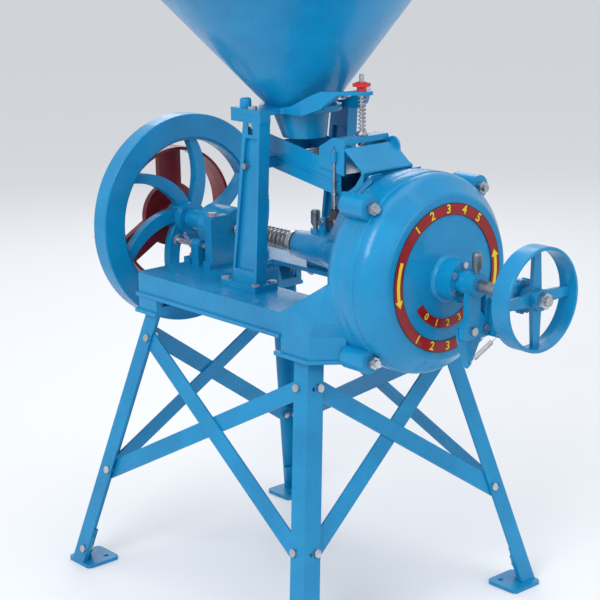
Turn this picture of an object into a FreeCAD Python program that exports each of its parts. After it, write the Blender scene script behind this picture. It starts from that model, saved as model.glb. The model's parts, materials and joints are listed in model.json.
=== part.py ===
"""Corn flour mill: a plate mill on an angle iron stand, with a flywheel, a belt pulley,
a hopper with a shaking feed shoe and a hand wheel that sets the gap between the plates.

Frame: X along the main shaft towards the grinding head, Y across the mill, Z up.
The origin is on the floor at the middle of the four feet. All sizes are in millimetres.
"""
import FreeCAD, Part
import math
import os
import re

import Sketcher
from FreeCAD import Placement, Rotation, Vector

# Driving dimensions: name, value, meaning. Angles are in degrees.
SIZES = (
    ("shaft_height", 819, "shaft centre line above the floor"),
    ("running_gap", 0.04, "radial gap of a running fit"),
    ("free_gap", 0.5, "radial gap of a bolt in its hole"),

    ("foot_centre_x", 404, "foot centre from the middle, along the shaft"),
    ("foot_centre_y", 324, "foot centre from the middle, across"),
    ("foot_length", 90, "foot plate along the shaft"),
    ("foot_width", 92, "foot plate across"),
    ("foot_thick", 9, "foot plate thickness"),
    ("foot_corner", 12, "round of the foot plate's corners"),
    ("foot_upright", 66, "height of the upright angle on the foot"),
    ("foot_wall", 8, "wall of the upright angle on the foot"),
    ("floor_hole", 13, "diameter of the floor bolt hole in each foot"),
    ("floor_hole_in", 22, "floor bolt hole from the foot's centre towards the middle"),

    ("leg_flange", 45, "width of the leg's angle iron"),
    ("leg_wall", 5, "wall of the leg's angle iron"),
    ("leg_corner_x", 289, "outer corner of a leg at the skirt's lower edge, along the shaft"),
    ("leg_corner_y", 217, "outer corner of a leg at the skirt's lower edge, across"),
    ("leg_lean_x", 0.223, "run of a leg along the shaft for each unit of fall"),
    ("leg_lean_y", 0.243, "run of a leg across for each unit of fall"),
    ("brace_high", 580, "height of the upper brace bolts"),
    ("brace_low", 249, "height of the lower brace bolts"),
    ("brace_width", 40, "width of the flat brace bars"),
    ("brace_thick", 5, "thickness of the flat brace bars"),
    ("brace_end", 9, "length of a brace beyond its bolt"),
    ("foot_bolt_height", 43, "height of the bolt between leg and foot"),
    ("bolt_inset", 33, "bolt line from the leg's outer corner"),
    ("spare_slot_inset", 18, "spare hole from the leg's outer corner"),
    ("stand_bolt", 10, "diameter of the stand's bolts"),
    ("head_across", 17, "width of a stand bolt's head across its flats"),
    ("head_thick", 6.4, "thickness of a stand bolt's head"),
    ("nut_thick", 8, "thickness of a stand bolt's nut"),

    ("skirt_low", 638, "lower edge of the skirts over the legs"),
    ("rail_low", 679, "lower edge of the bed's side rails"),
    ("bed_top", 735, "top of the bed's deck"),
    ("deck_thick", 10, "thickness of the bed's deck"),
    ("bed_wall", 9, "wall of the castings"),
    ("bed_rear", -308, "rear end of the bed"),
    ("bed_joint", 212, "joint between the bed and the mill body"),
    ("bed_bolt_height", 703, "height of the bolts between bed and mill body"),
    ("bed_half", 227, "half width of the bed over its rails and skirts"),
    ("bed_window_rear", -175, "rear end of the opening in the deck"),
    ("bed_window_front", 186, "front end of the opening in the deck"),
    ("bed_window_half", 84, "half width of the opening in the deck"),
    ("bead_out", 5, "lip along the castings' lower edges"),
    ("bead_high", 9, "height of that lip"),
    ("skirt_length", 74, "length of a rear skirt along the shaft"),
    ("skirt_width", 76, "width of a rear skirt across"),
    ("casting_round", 10, "round of the castings' outer corners"),

    ("shaft_dia", 38, "main shaft diameter"),
    ("bush_wall", 8, "wall of the bearing bushes"),
    ("neck_rear", 20, "rear end of the mill body's neck"),
    ("neck_radius", 31, "outer radius of the neck at its rear end"),
    ("neck_bend", 170, "station where the neck flares into the bell"),
    ("neck_bend_radius", 43, "outer radius of the neck at that station"),
    ("bell_bend", 150, "round of the flare between neck and bell"),
    ("drum_back", 350, "station where the bell's cone reaches the drum"),
    ("bell_radius", 216, "outer radius of the drum"),
    ("bell_shoulder", 60, "round between the bell's cone and the drum"),
    ("drum_joint", 397, "joint face between the drum and the cover"),
    ("bulkhead", 14, "thickness of the wall behind the fixed plate"),
    ("throat_rear", 206, "rear end of the worm's throat"),
    ("throat_radius", 46, "inner radius of the worm's throat"),
    ("throat_wall", 11, "wall of the throat tube"),
    ("pedestal_nose", 301, "front corner of the pedestal's side walls"),
    ("pedestal_front", 352, "front wall of the pedestal"),
    ("pedestal_arch_half", 166, "half width of the pedestal's front wall"),
    ("pedestal_waist", 700, "height where the pedestal's nose begins to swing out"),
    ("waist_nose", 306, "front corner of the side walls at that height"),
    ("waist_front", 362, "front wall at that height"),
    ("waist_half", 175, "half width of the front wall at that height"),
    ("hip_nose", 322, "front corner of the side walls at the deck's height"),
    ("hip_front", 385, "front wall at the deck's height"),
    ("hip_half", 190, "half width of the front wall at the deck's height"),
    ("roof_run", 133, "run of the roof from the bed's joint up to the shaft's height"),
    ("lug_circle", 229.5, "radius of the circle of the cover's lugs"),
    ("lug_radius", 26, "radius of a lug"),
    ("back_lug_length", 41, "length of the drum's lugs"),
    ("rib_thick", 11, "thickness of the ribs on the bell"),
    ("rib_foot", 128, "station where a rib leaves the neck"),
    ("cover_lug_thick", 27, "thickness of the cover's lugs"),
    ("lug_bolt", 16, "diameter of the cover's bolts"),
    ("lug_nut_across", 24, "cover nut across its flats"),
    ("cover_radius", 215, "outer radius of the cover's band"),
    ("cover_face", 485, "front face of the cover"),
    ("cover_shoulder", 444, "end of the cover's straight band"),
    ("cover_face_radius", 176, "radius where the cover's face begins"),
    ("cover_round", 34, "round of the cover's shoulder"),
    ("cover_wall", 9, "wall of the cover"),
    ("band_outer", 158.5, "outer radius of the raised band on the cover"),
    ("band_inner", 133.5, "inner radius of the raised band on the cover"),
    ("band_high", 2.5, "height of the raised band on the cover"),
    ("small_band_outer", 106, "outer radius of the small raised arc"),
    ("small_band_inner", 86, "inner radius of the small raised arc"),
    ("small_band_rise", 30, "angle of the small arc's ends below the horizontal"),
    ("hub_radius", 44, "radius of the boss in the middle of the cover"),
    ("hub_front", 522, "front face of that boss"),
    ("outlet_width", 120, "width of the flour outlet in the cover's lowest part"),
    ("outlet_inset", 7, "flour outlet from the cover's joint face"),
    ("outlet_length", 34, "length of the flour outlet along the shaft"),

    ("saddle_rear", 240, "rear end of the inlet's seat on the bell"),
    ("saddle_rear_height", 946, "height of the inlet's seat at its rear end"),
    ("saddle_front", 336, "front end of the inlet's seat"),
    ("saddle_front_height", 1022, "height of the inlet's seat at its front end"),
    ("saddle_half", 74, "half width of the inlet's seat"),
    ("saddle_thick", 12, "thickness of the inlet's seat"),
    ("chute_rear", 252, "rear side of the chute down to the worm"),
    ("chute_front", 324, "front side of the chute down to the worm"),
    ("chute_half", 42, "half width of the chute down to the worm"),

    ("shaker_pivot", 110, "station of the shaker lever's pivot"),
    ("shaker_pivot_height", 885, "height of the shaker lever's pivot"),
    ("shaker_pin", 147, "station of the shaker lever's follower pin"),
    ("cup_boss_top", 44, "top of the grease cup's boss above the shaft centre"),
    ("cup_station", 76, "station of the grease cup on the neck"),

    ("bearing_rear", -300, "rear end of the rear bearing"),
    ("bearing_front", -200, "front end of the rear bearing"),
    ("bearing_radius", 50, "outer radius of the rear bearing"),
    ("bearing_foot_half", 92, "half width of the rear bearing's foot"),
    ("bearing_foot_thick", 16, "thickness of the rear bearing's foot"),
    ("ear_rear", -226, "rear side of the bearing's ears"),
    ("ear_half", 84, "half width over the bearing's ears"),
    ("ear_high", 40, "height of the cap's ears above the shaft centre"),
    ("bearing_bolt", 14, "diameter of the bearing's bolts"),
    ("bearing_bolt_out", 71, "bearing bolts beside the shaft"),
    ("foot_step", 23, "length of the bearing's rear foot along the shaft"),
    ("foot_bolt", 12, "diameter of the bolts in the bearing's rear foot"),
    ("jack_offset", 74, "bearing jack screw beside the shaft"),
    ("jack_height", 782, "height of the bearing jack screw"),
    ("jack_lug", -262, "middle of the lug that holds the jack screw"),
    ("jack_dia", 14, "diameter of the bearing jack screw"),
    ("jack_head", -348, "rear end of the jack screw's head"),

    ("rotor_fit", 0.02, "radial gap of a piece that is fixed on the shaft"),
    ("shaft_rear", -510, "rear end of the main shaft"),
    ("shaft_step", 398, "station where the shaft steps down for the disc"),
    ("shaft_nose_dia", 30, "shaft diameter in the runner disc"),
    ("shaft_thread_dia", 22, "shaft diameter under the disc's nut"),
    ("shaft_front", 494, "front end of the main shaft"),
    ("flywheel_middle", -411.5, "middle of the flywheel's rim along the shaft"),
    ("flywheel_width", 47, "width of the flywheel's rim"),
    ("flywheel_radius", 258, "outer radius of the flywheel"),
    ("flywheel_opening", 194, "inner radius of the flywheel's rim"),
    ("flywheel_lip", 7, "depth and width of the step inside the rim"),
    ("flywheel_hub_radius", 40, "outer radius of the flywheel's hub"),
    ("flywheel_hub_rear", -438, "rear end of the flywheel's hub"),
    ("flywheel_hub_front", -380, "front end of the flywheel's hub"),
    ("spoke_thick", 22, "thickness of a flywheel spoke along the shaft"),
    ("spoke_root", 34, "width of a flywheel spoke at its hub"),
    ("spoke_tip", 25, "width of a flywheel spoke at the rim"),
    ("spoke_bend", 178, "radius of a flywheel spoke's curve"),
    ("spoke_root_angle", 43, "angle of the first flywheel spoke at its hub"),
    ("spoke_tip_angle", 84, "angle of the first flywheel spoke at the rim"),
    ("spoke_count", 6, "number of flywheel spokes"),
    ("pulley_front", -443, "front face of the belt pulley"),
    ("pulley_width", 62, "width of the belt pulley"),
    ("pulley_radius", 172, "outer radius of the belt pulley"),
    ("pulley_crown", 1.5, "crown of the belt pulley"),
    ("pulley_rim", 9, "thickness of the belt pulley's rim"),
    ("pulley_hub_radius", 38, "outer radius of the belt pulley's hub"),
    ("pulley_web_radius", 80, "radius of the disc that joins the pulley's spokes"),
    ("pulley_spoke", 66, "width of a belt pulley spoke"),
    ("pulley_spoke_thick", 16, "thickness of a belt pulley spoke"),
    ("pulley_spoke_count", 3, "number of belt pulley spokes"),
    ("key_width", 10, "width of the shaft keys"),
    ("key_depth", 4, "depth of the keyways in the shaft"),
    ("key_high", 7, "height of the shaft keys"),
    ("spacer_radius", 26, "outer radius of the spacer behind the rear bearing"),
    ("spacer_front", -306, "front end of that spacer"),
    ("collar_radius", 29, "outer radius of the spring collar"),
    ("collar_width", 13, "width of the spring collar"),
    ("collar_front", 12, "front face of the spring collar"),
    ("spring_wire", 4.2, "wire of the shaft spring"),
    ("spring_radius", 24.5, "outer radius of the shaft spring"),
    ("spring_pitch", 14.2, "pitch of the shaft spring"),
    ("worm_rear", 226, "rear end of the feed worm"),
    ("worm_front", 392, "front end of the feed worm"),
    ("worm_core", 26, "core radius of the feed worm"),
    ("worm_radius", 43.5, "outer radius of the feed worm"),
    ("worm_pitch", 44, "pitch of the feed worm"),
    ("worm_flight", 5, "thickness of the feed worm's flight"),
    ("cam_throw", 2, "eccentricity of the shaker cam"),
    ("cam_radius", 23.5, "outer radius of the shaker cam"),
    ("cam_width", 16, "width of the shaker cam"),
    ("plate_radius", 152, "outer radius of the grinding plates"),
    ("plate_eye", 62, "inner radius of the grinding plates"),
    ("plate_thick", 14, "thickness of the grinding plates"),
    ("plate_gap", 2, "gap between the grinding plates at rest"),
    ("plate_groove", 5, "width of the plates' grooves"),
    ("groove_depth", 3, "depth of the plates' grooves"),
    ("groove_count", 24, "number of grooves in each plate"),
    ("disc_thick", 13, "thickness of the runner disc"),
    ("disc_hub_radius", 34, "outer radius of the runner disc's hub"),
    ("disc_hub_front", 462, "front end of the runner disc's hub"),
    ("disc_nut_across", 36, "disc nut across its flats"),
    ("disc_nut_thick", 14, "thickness of the disc nut"),
    ("cup_radius", 24, "outer radius of the thrust cup"),
    ("cup_rear", 488, "rear end of the thrust cup"),
    ("cup_front", 514, "front end of the thrust cup"),
    ("ball_radius", 7, "radius of the thrust ball"),
    ("screw_dia", 24, "diameter of the adjusting screw"),
    ("screw_pitch", 3, "pitch of the adjusting screw"),
    ("housing_flange", 10, "thickness of the screw housing's flange"),
    ("housing_front", 578, "front end of the screw housing"),
    ("housing_radius", 25, "outer radius of the screw housing's barrel"),
    ("housing_bolt", 8, "diameter of the screw housing's bolts"),
    ("head_cup_station", 568, "station of the grease cup on the screw housing"),
    ("hanger_rear", 549, "rear face of the hanging arm under the screw"),
    ("hanger_thick", 14, "thickness of the hanging arm"),
    ("hanger_bolt_height", 720, "height of the two bolts in the hanging arm"),
    ("hanger_left", -4, "near bolt of the hanging arm, across"),
    ("hanger_right", 33, "far bolt of the hanging arm, across"),
    ("hanger_low", 702, "lower edge of the hanging arm"),
    ("stay_front", 596, "front end of the stay towards the hand wheel"),
    ("stay_across", 47, "middle of the stay, across"),
    ("stay_thick", 7, "thickness of the stay"),
    ("lever_tip_height", 638, "height of the locking lever's tip"),
    ("lever_thick", 5, "thickness of the locking lever"),
    ("wheel_rear", 702, "rear edge of the hand wheel's rim"),
    ("wheel_width", 43, "width of the hand wheel's rim"),
    ("wheel_radius", 107, "outer radius of the hand wheel"),
    ("wheel_rim", 7, "thickness of the hand wheel's rim"),
    ("wheel_hub_radius", 22, "outer radius of the hand wheel's hub"),
    ("wheel_hub_rear", 698, "rear end of the hand wheel's hub"),
    ("wheel_hub_front", 742, "front end of the hand wheel's hub"),
    ("wheel_spoke", 22, "width of a hand wheel spoke"),
    ("wheel_spoke_thick", 9, "thickness of a hand wheel spoke"),
    ("wheel_nut_across", 30, "hand wheel nut across its flats"),
    ("screw_front", 762, "front end of the adjusting screw"),
    ("ratchet_radius", 36, "outer radius of the notched wheel behind the hand wheel"),

    ("post_rear_low", -50, "rear edge of a post at the deck"),
    ("post_front_low", 36, "front edge of a post at the deck"),
    ("post_rear_high", 6, "rear edge of a post at its top"),
    ("post_front_high", 62, "front edge of a post at its top"),
    ("post_top", 1130, "top of the posts"),
    ("post_inner", 116, "inner face of a post, across"),
    ("post_thick", 30, "thickness of a post, across"),
    ("post_rib", 9, "width of the ribs along a post"),
    ("post_recess", 8, "depth of the recess between the ribs"),
    ("post_foot_out", 18, "foot of a post beyond its sides"),
    ("post_foot_thick", 14, "thickness of a post's foot"),
    ("post_head_out", 44, "lug on a post's head beyond its rear edge"),
    ("post_head_thick", 17, "thickness of the lug on a post's head"),
    ("yoke_bolt_station", 28, "station of the bolts between post and yoke"),
    ("yoke_bolt_out", 138, "bolts between post and yoke from the middle, across"),
    ("boss_station", -4, "station of the round boss on the yoke's ends"),
    ("boss_radius", 13, "radius of that boss"),
    ("boss_high", 22, "height of that boss"),

    ("hopper_low", 1127, "joint of hopper and spout"),
    ("hopper_top", 1412, "rim of the hopper"),
    ("hopper_low_x", 31, "middle of the hopper at its lower end"),
    ("hopper_top_x", -12, "middle of the hopper at its rim"),
    ("hopper_low_radius", 64, "radius of the hopper at its lower end"),
    ("hopper_top_radius", 314, "radius of the hopper at its rim"),
    ("sheet_wall", 2, "sheet thickness of the hopper, spout and shoe"),
    ("rim_wire", 4.5, "radius of the wired edge of the hopper"),
    ("spout_low", 1070, "lower end of the spout"),
    ("spout_low_x", 43, "middle of the spout at its lower end"),
    ("spout_low_radius", 50, "radius of the spout at its lower end"),
    ("yoke_ring", 16, "width of the yoke's ring round the hopper"),
    ("yoke_thick", 13, "thickness of the yoke"),
    ("yoke_arm_half", 85, "half width over the yoke's two arms"),
    ("yoke_arm_thick", 9, "thickness of the yoke's arms"),
    ("yoke_arm_bend", 150, "radius of the arms' curve, seen from above"),
    ("oval_across", 24, "half width of the oval plate round the feed rod"),
    ("oval_along", 16, "run of the oval plate's straight sides"),
    ("rod_station", 229, "station of the feed rod"),
    ("plate_height", 1179, "underside of the yoke's plate round the feed rod"),
    ("plate_high", 8, "thickness of that plate"),
    ("feed_rod_dia", 10, "diameter of the feed rod"),
    ("feed_rod_top", 1222, "top of the feed rod"),
    ("knob_radius", 20, "outer radius of the feed knob"),
    ("knob_high", 19, "height of the feed knob"),
    ("feed_wire", 2.4, "wire of the feed spring"),
    ("feed_spring_radius", 9.5, "outer radius of the feed spring"),
    ("feed_spring_pitch", 8.5, "pitch of the feed spring"),
    ("cross_height", 1078, "underside of the shoe's crossbar"),
    ("cross_thick", 13, "thickness of the shoe's crossbar"),
    ("cheek_thick", 6, "thickness of the cheeks that carry the crossbar"),
    ("feed_dome", 13, "radius of the spring seat over the crossbar"),

    ("shoe_half", 60, "half width of the feed shoe"),
    ("shoe_rear", -12, "rear end of the feed shoe"),
    ("shoe_front", 226, "front end of the feed shoe's sides"),
    ("shoe_rear_low", 1003, "lower edge of the shoe at its rear end"),
    ("shoe_rear_high", 1077, "upper edge of the shoe at its rear end"),
    ("shoe_front_low", 963, "lower edge of the shoe at its front end"),
    ("shoe_front_high", 1033, "upper edge of the shoe at its front end"),
    ("shoe_lip", 22, "lip of the shoe's floor beyond its sides"),
    ("shoe_wall", 2.5, "sheet thickness of the feed shoe"),
    ("riddle_drop", 30, "riddle plate below the shoe's upper edge"),
    ("riddle_thick", 2, "thickness of the riddle plate"),
    ("riddle_slot", 30, "length of the riddle plate's slots"),
    ("riddle_slot_width", 4, "width of the riddle plate's slots"),
    ("pivot_station", 8, "station of the feed shoe's pivot"),
    ("pivot_height", 1016, "height of the feed shoe's pivot"),
    ("pivot_dia", 14, "diameter of the feed shoe's pivot pin"),

    ("shaker_rod_station", 213, "station of the shaker rod"),
    ("shaker_rod_offset", 67, "shaker rod beside the middle"),
    ("shaker_rod_dia", 7, "diameter of the shaker rod"),
    ("shaker_eye_height", 925, "height of the shaker lever's eye"),
    ("eye_gap", 1.2, "gap beside the shaker rod in the lever's eye"),
    ("eye_slot_rear", 2.4, "run of the eye's slot behind the shaker rod"),
    ("eye_slot_front", 5.2, "run of the eye's slot in front of the shaker rod"),
    ("shaker_spring_radius", 6.5, "outer radius of the shaker spring"),
    ("shaker_wire", 1.6, "wire of the shaker spring"),

    ("inlet_wall", 6, "wall of the inlet funnel"),
    ("inlet_top", 1086, "top of the inlet funnel's sides"),
    ("inlet_rear_top", 232, "rear edge of the inlet funnel at its top"),
    ("inlet_front_top", 352, "front wall of the inlet funnel at its top"),
    ("inlet_half", 74, "half width of the inlet funnel"),
    ("inlet_rear_wall", 948, "top of the inlet funnel's low rear wall"),
)

doc = FreeCAD.newDocument("corn_flour_mill")
sheet = doc.addObject("Spreadsheet::Sheet", "Sizes")
for row, (alias, amount, meaning) in enumerate(SIZES, start=1):
    sheet.set("A%d" % row, alias)
    sheet.set("B%d" % row, str(amount))
    sheet.set("C%d" % row, meaning)
    sheet.setAlias("B%d" % row, alias)
probe = doc.addObject("Part::Vertex", "Probe")
doc.recompute()

ALIASES = {row[0] for row in SIZES}
known = {}
nodes = []


def formula(text):
    """A formula in plain size names, written for the expression engine."""
    return re.sub(r"[a-z][a-z0-9_]*",
                  lambda word: "Sizes." + word.group() if word.group() in ALIASES else word.group(),
                  str(text))


def bind(target, prop, text):
    """Tie one property of an object to a formula in size names."""
    target.setExpression(prop, formula(text))


def value(text):
    """The number that a formula in size names gives now."""
    text = str(text)
    if text not in known:
        bind(probe, "X", text)
        probe.recompute()
        known[text] = float(probe.X)
    return known[text]


def values(*texts):
    return tuple(value(text) for text in texts)


def disc(across, up, radius):
    return ("disc", across, up, radius)


def box(left, low, right, high):
    return [(left, low), (right, low), (right, high), (left, high)]


def pin_point(sketch, geometry, point, across, up):
    """Dimension one point of a sketch from the origin."""
    for kind, text in (("DistanceX", across), ("DistanceY", up)):
        constraint = Sketcher.Constraint(kind, -1, 1, geometry, point, value(text))
        bind(sketch, "Constraints[%d]" % sketch.addConstraint(constraint), text)


def pin_radius(sketch, geometry, radius):
    constraint = Sketcher.Constraint("Radius", geometry, value(radius))
    bind(sketch, "Constraints[%d]" % sketch.addConstraint(constraint), radius)


def draw(sketch, loop):
    """Draw one closed loop: a disc, or corners (across, up[, bend]).

    bend is the radius of an arc to the next corner. With a leading minus, the arc's
    centre is on the right hand of the way to that corner, otherwise on the left.
    """
    first = sketch.GeometryCount
    if loop[0] == "disc":
        across, up, radius = loop[1:]
        centre = Vector(value(across), value(up), 0)
        sketch.addGeometry(Part.Circle(centre, Vector(0, 0, 1), value(radius)), False)
        pin_point(sketch, first, 3, across, up)
        pin_radius(sketch, first, radius)
        return
    spots = [Vector(value(corner[0]), value(corner[1]), 0) for corner in loop]
    starts = []
    for index, corner in enumerate(loop):
        here, there = spots[index], spots[(index + 1) % len(spots)]
        if len(corner) == 2:
            sketch.addGeometry(Part.LineSegment(here, there), False)
            starts.append(1)
            continue
        right_hand = corner[2].startswith("-")
        radius = value(corner[2].lstrip("-"))
        chord = there - here
        side = Vector(-chord.y, chord.x, 0).normalize() * (-1 if right_hand else 1)
        sagitta = radius - math.sqrt(max(radius ** 2 - chord.Length ** 2 / 4, 0))
        middle = (here + there) / 2 - side * sagitta
        ends = (there, middle, here) if right_hand else (here, middle, there)
        sketch.addGeometry(Part.Arc(*ends), False)
        starts.append(2 if right_hand else 1)
    for index, corner in enumerate(loop):
        following = (index + 1) % len(loop)
        sketch.addConstraint(Sketcher.Constraint(
            "Coincident", first + index, 3 - starts[index], first + following, starts[following]))
        pin_point(sketch, first + index, starts[index], corner[0], corner[1])
        if len(corner) == 3:
            pin_radius(sketch, first + index, corner[2].lstrip("-"))


def keep(piece, label):
    """Register an object as one of the mill's pieces."""
    piece.Label = label
    nodes.append(piece)
    return piece


def new_body(label, x=0, y=0, z=0, kept=True):
    body = doc.addObject("PartDesign::Body", label)
    for axis, text in (("x", x), ("y", y), ("z", z)):
        bind(body, "Placement.Base." + axis, text)
    return keep(body, label) if kept else body


def origin_part(body, role):
    return next(item for item in body.Origin.OriginFeatures if item.Role == role)


def new_sketch(body, plane, *loops, lift=0, tilt=0):
    """A sketch on one of the body's own planes, lifted along that plane's normal.

    tilt turns the sketch about its own first axis.
    """
    sketch = body.newObject("Sketcher::SketchObject", body.Name + "_sketch")
    sketch.AttachmentSupport = [(origin_part(body, plane + "_Plane"), "")]
    sketch.MapMode = "FlatFace"
    sketch.AttachmentOffset = Placement(Vector(), Rotation(Vector(1, 0, 0), tilt))
    bind(sketch, "AttachmentOffset.Base.z", lift)
    for loop in loops:
        draw(sketch, loop)
    return sketch


def extrude(body, sketch, length, tool="Pad", both=False, back=False):
    feature = body.newObject("PartDesign::" + tool, body.Name + "_" + tool.lower())
    feature.Profile = sketch
    if both:
        feature.SideType = "Symmetric"
    feature.Reversed = back
    bind(feature, "Length", length)
    return feature


def pocket(body, sketch, length, both=False, back=False):
    return extrude(body, sketch, length, "Pocket", both, back)


def turn(body, sketch, axis="H_Axis", tool="Revolution"):
    feature = body.newObject("PartDesign::" + tool, body.Name + "_" + tool.lower())
    feature.Profile = sketch
    feature.ReferenceAxis = (sketch, [axis])
    feature.Angle = 360
    return feature


def loft(body, sketches, tool="AdditiveLoft", ruled=True):
    feature = body.newObject("PartDesign::" + tool, body.Name + "_loft")
    feature.Profile = sketches[0]
    feature.Sections = sketches[1:]
    feature.Ruled = ruled
    return feature


def polar(body, features, axis, count):
    pattern = body.newObject("PartDesign::PolarPattern", body.Name + "_pattern")
    pattern.Originals = features
    pattern.Axis = (origin_part(body, axis + "_Axis"), [""])
    pattern.Angle = 360
    bind(pattern, "Occurrences", count)
    body.Tip = pattern
    return pattern


def mirror(body, features, plane):
    pattern = body.newObject("PartDesign::Mirrored", body.Name + "_mirror")
    pattern.Originals = features
    pattern.MirrorPlane = (origin_part(body, plane + "_Plane"), [""])
    body.Tip = pattern
    return pattern


def soften(body, base, radius, wanted, tool="Fillet"):
    """Round or chamfer the edges of the newest feature that a test picks."""
    doc.recompute()
    edges = ["Edge%d" % number for number, edge in enumerate(base.Shape.Edges, start=1)
             if wanted(edge)]
    feature = body.newObject("PartDesign::" + tool, body.Name + "_" + tool.lower())
    feature.Base = (base, edges)
    bind(feature, "Radius" if tool == "Fillet" else "Size", radius)
    return feature


def near(first, second, slack=0.05):
    return abs(first - second) < slack


def is_ring(edge, x, radius, slack=0.05):
    """True for a circle round the X axis at a station and a radius."""
    curve = edge.Curve
    return (isinstance(curve, Part.Circle) and near(curve.Radius, radius, slack)
            and near(curve.Center.x, x, slack) and near(abs(curve.Axis.x), 1))


def is_upright(edge):
    ends = [vertex.Point for vertex in edge.Vertexes]
    return (len(ends) == 2 and isinstance(edge.Curve, Part.Line)
            and near(ends[0].x, ends[1].x) and near(ends[0].y, ends[1].y))


def made(label, shape):
    """A piece whose shape comes straight from the part functions."""
    feature = doc.addObject("Part::Feature", label)
    feature.Shape = shape
    return keep(feature, label)


def stock(label, shapes):
    """Several shapes as one object for a later cut."""
    item = doc.addObject("Part::Feature", label)
    item.Shape = Part.makeCompound(shapes)
    return item


def cut(label, base, tools):
    """A kept piece: a base object less one shape made of all the tools."""
    piece = doc.addObject("Part::Cut", label)
    piece.Base = base
    piece.Tool = stock(label + "_drill", tools)
    return keep(piece, label)


def group(label, pieces):
    """A kept piece made of several separate solids."""
    item = doc.addObject("Part::Compound", label)
    item.Links = pieces
    return keep(item, label)


def union(label, pieces):
    """One solid from several overlapping ones."""
    whole = doc.addObject("Part::MultiFuse", label)
    whole.Shapes = pieces
    whole.Refine = False
    return whole


def less(label, base, tools):
    """A kept piece: a base object less the tool objects."""
    piece = doc.addObject("Part::Cut", label)
    piece.Base = base
    piece.Tool = tools[0] if len(tools) == 1 else union(label + "_tools", tools)
    piece.Refine = False
    return keep(piece, label)


def block(label, x, y, z, length, width, height):
    """A plain box object between formulas."""
    item = doc.addObject("Part::Box", label)
    for prop, text in (("Placement.Base.x", x), ("Placement.Base.y", y), ("Placement.Base.z", z),
                       ("Length", length), ("Width", width), ("Height", height)):
        bind(item, prop, text)
    return item


def round_bar(label, axis, x, y, z, radius, length):
    """A plain cylinder object along X, Y or Z, from its start point."""
    item = doc.addObject("Part::Cylinder", label)
    item.Placement = Placement(Vector(), Rotation(Vector(0, 0, 1), Vector(*axis)))
    for prop, text in (("Placement.Base.x", x), ("Placement.Base.y", y), ("Placement.Base.z", z),
                       ("Radius", radius), ("Height", length)):
        bind(item, prop, text)
    return item


ALONG, ACROSS, UP = (1, 0, 0), (0, 1, 0), (0, 0, 1)


def rod(start, end, radius):
    return Part.makeCylinder(radius, (end - start).Length, start, end - start)


def hexagon(seat, direction, across, thick):
    """A hexagonal prism that stands on its seat."""
    radius = across / math.sqrt(3)
    corners = [Vector(radius * math.cos(step * math.pi / 3), radius * math.sin(step * math.pi / 3), 0)
               for step in range(7)]
    prism = Part.Face(Part.makePolygon(corners)).extrude(Vector(0, 0, thick))
    prism.Placement = Placement(seat, Rotation(Vector(0, 0, 1), direction))
    return prism


def bolt(seat, direction, diameter, length, across, thick):
    """A hexagon bolt: its head stands on the seat, its shank goes the other way."""
    direction = Vector(direction).normalize()
    head = hexagon(seat, direction, across, thick)
    return head.fuse(rod(seat, seat - direction * length, diameter / 2)).removeSplitter()


def nut(seat, direction, diameter, across, thick):
    direction = Vector(direction).normalize()
    hole = rod(seat - direction, seat + direction * (thick + 1), diameter / 2)
    return hexagon(seat, direction, across, thick).cut(hole)


# The stand: four leaning angle iron legs on cast feet, with crossed flat bars on each side.
CORNERS = (("rear_near", -1, -1), ("rear_far", -1, 1), ("front_near", 1, -1), ("front_far", 1, 1))


def leg_corner(side_x, side_y, height, inset=0):
    """Formulas for a leg's outer corner at a height, moved in from both faces."""
    fall = "(skirt_low - (%s))" % height
    return ("%d * (leg_corner_x + leg_lean_x * %s - (%s))" % (side_x, fall, inset),
            "%d * (leg_corner_y + leg_lean_y * %s - (%s))" % (side_y, fall, inset))


def angle_outline(side_x, side_y, height, inset, flange, wall):
    """The L section of a leaning angle whose outer corner follows the leg."""
    x, y = leg_corner(side_x, side_y, height, inset)
    to_x = lambda size: "%s - %d * (%s)" % (x, side_x, size)
    to_y = lambda size: "%s - %d * (%s)" % (y, side_y, size)
    return [(x, y), (to_x(flange), y), (to_x(flange), to_y(wall)), (to_x(wall), to_y(wall)),
            (to_x(wall), to_y(flange)), (x, to_y(flange))]


def leaning_angle(body, side_x, side_y, low, high, inset, flange, wall):
    sections = [new_sketch(body, "XY", angle_outline(side_x, side_y, height, inset, flange, wall),
                           lift=height) for height in (low, high)]
    return loft(body, sections)


def face_normals(side_x, side_y):
    """Outward normals of a leg's two leaning faces: the one across, the one along the shaft."""
    return (Vector(0, side_y, value("leg_lean_y")).normalize(),
            Vector(side_x, 0, value("leg_lean_x")).normalize())


def leg_spots(side_x, side_y, height, inset="bolt_inset"):
    """Points on the outer faces of a leg at a height, each a set distance from the corner."""
    x, y = leg_corner(side_x, side_y, height)
    return (Vector(value("%s - %d * %s" % (x, side_x, inset)), value(y), value(height)),
            Vector(value(x), value("%s - %d * %s" % (y, side_y, inset)), value(height)))


def hole(spot, normal, diameter, deep):
    return rod(spot + normal * deep, spot - normal * deep, diameter / 2)


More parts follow.
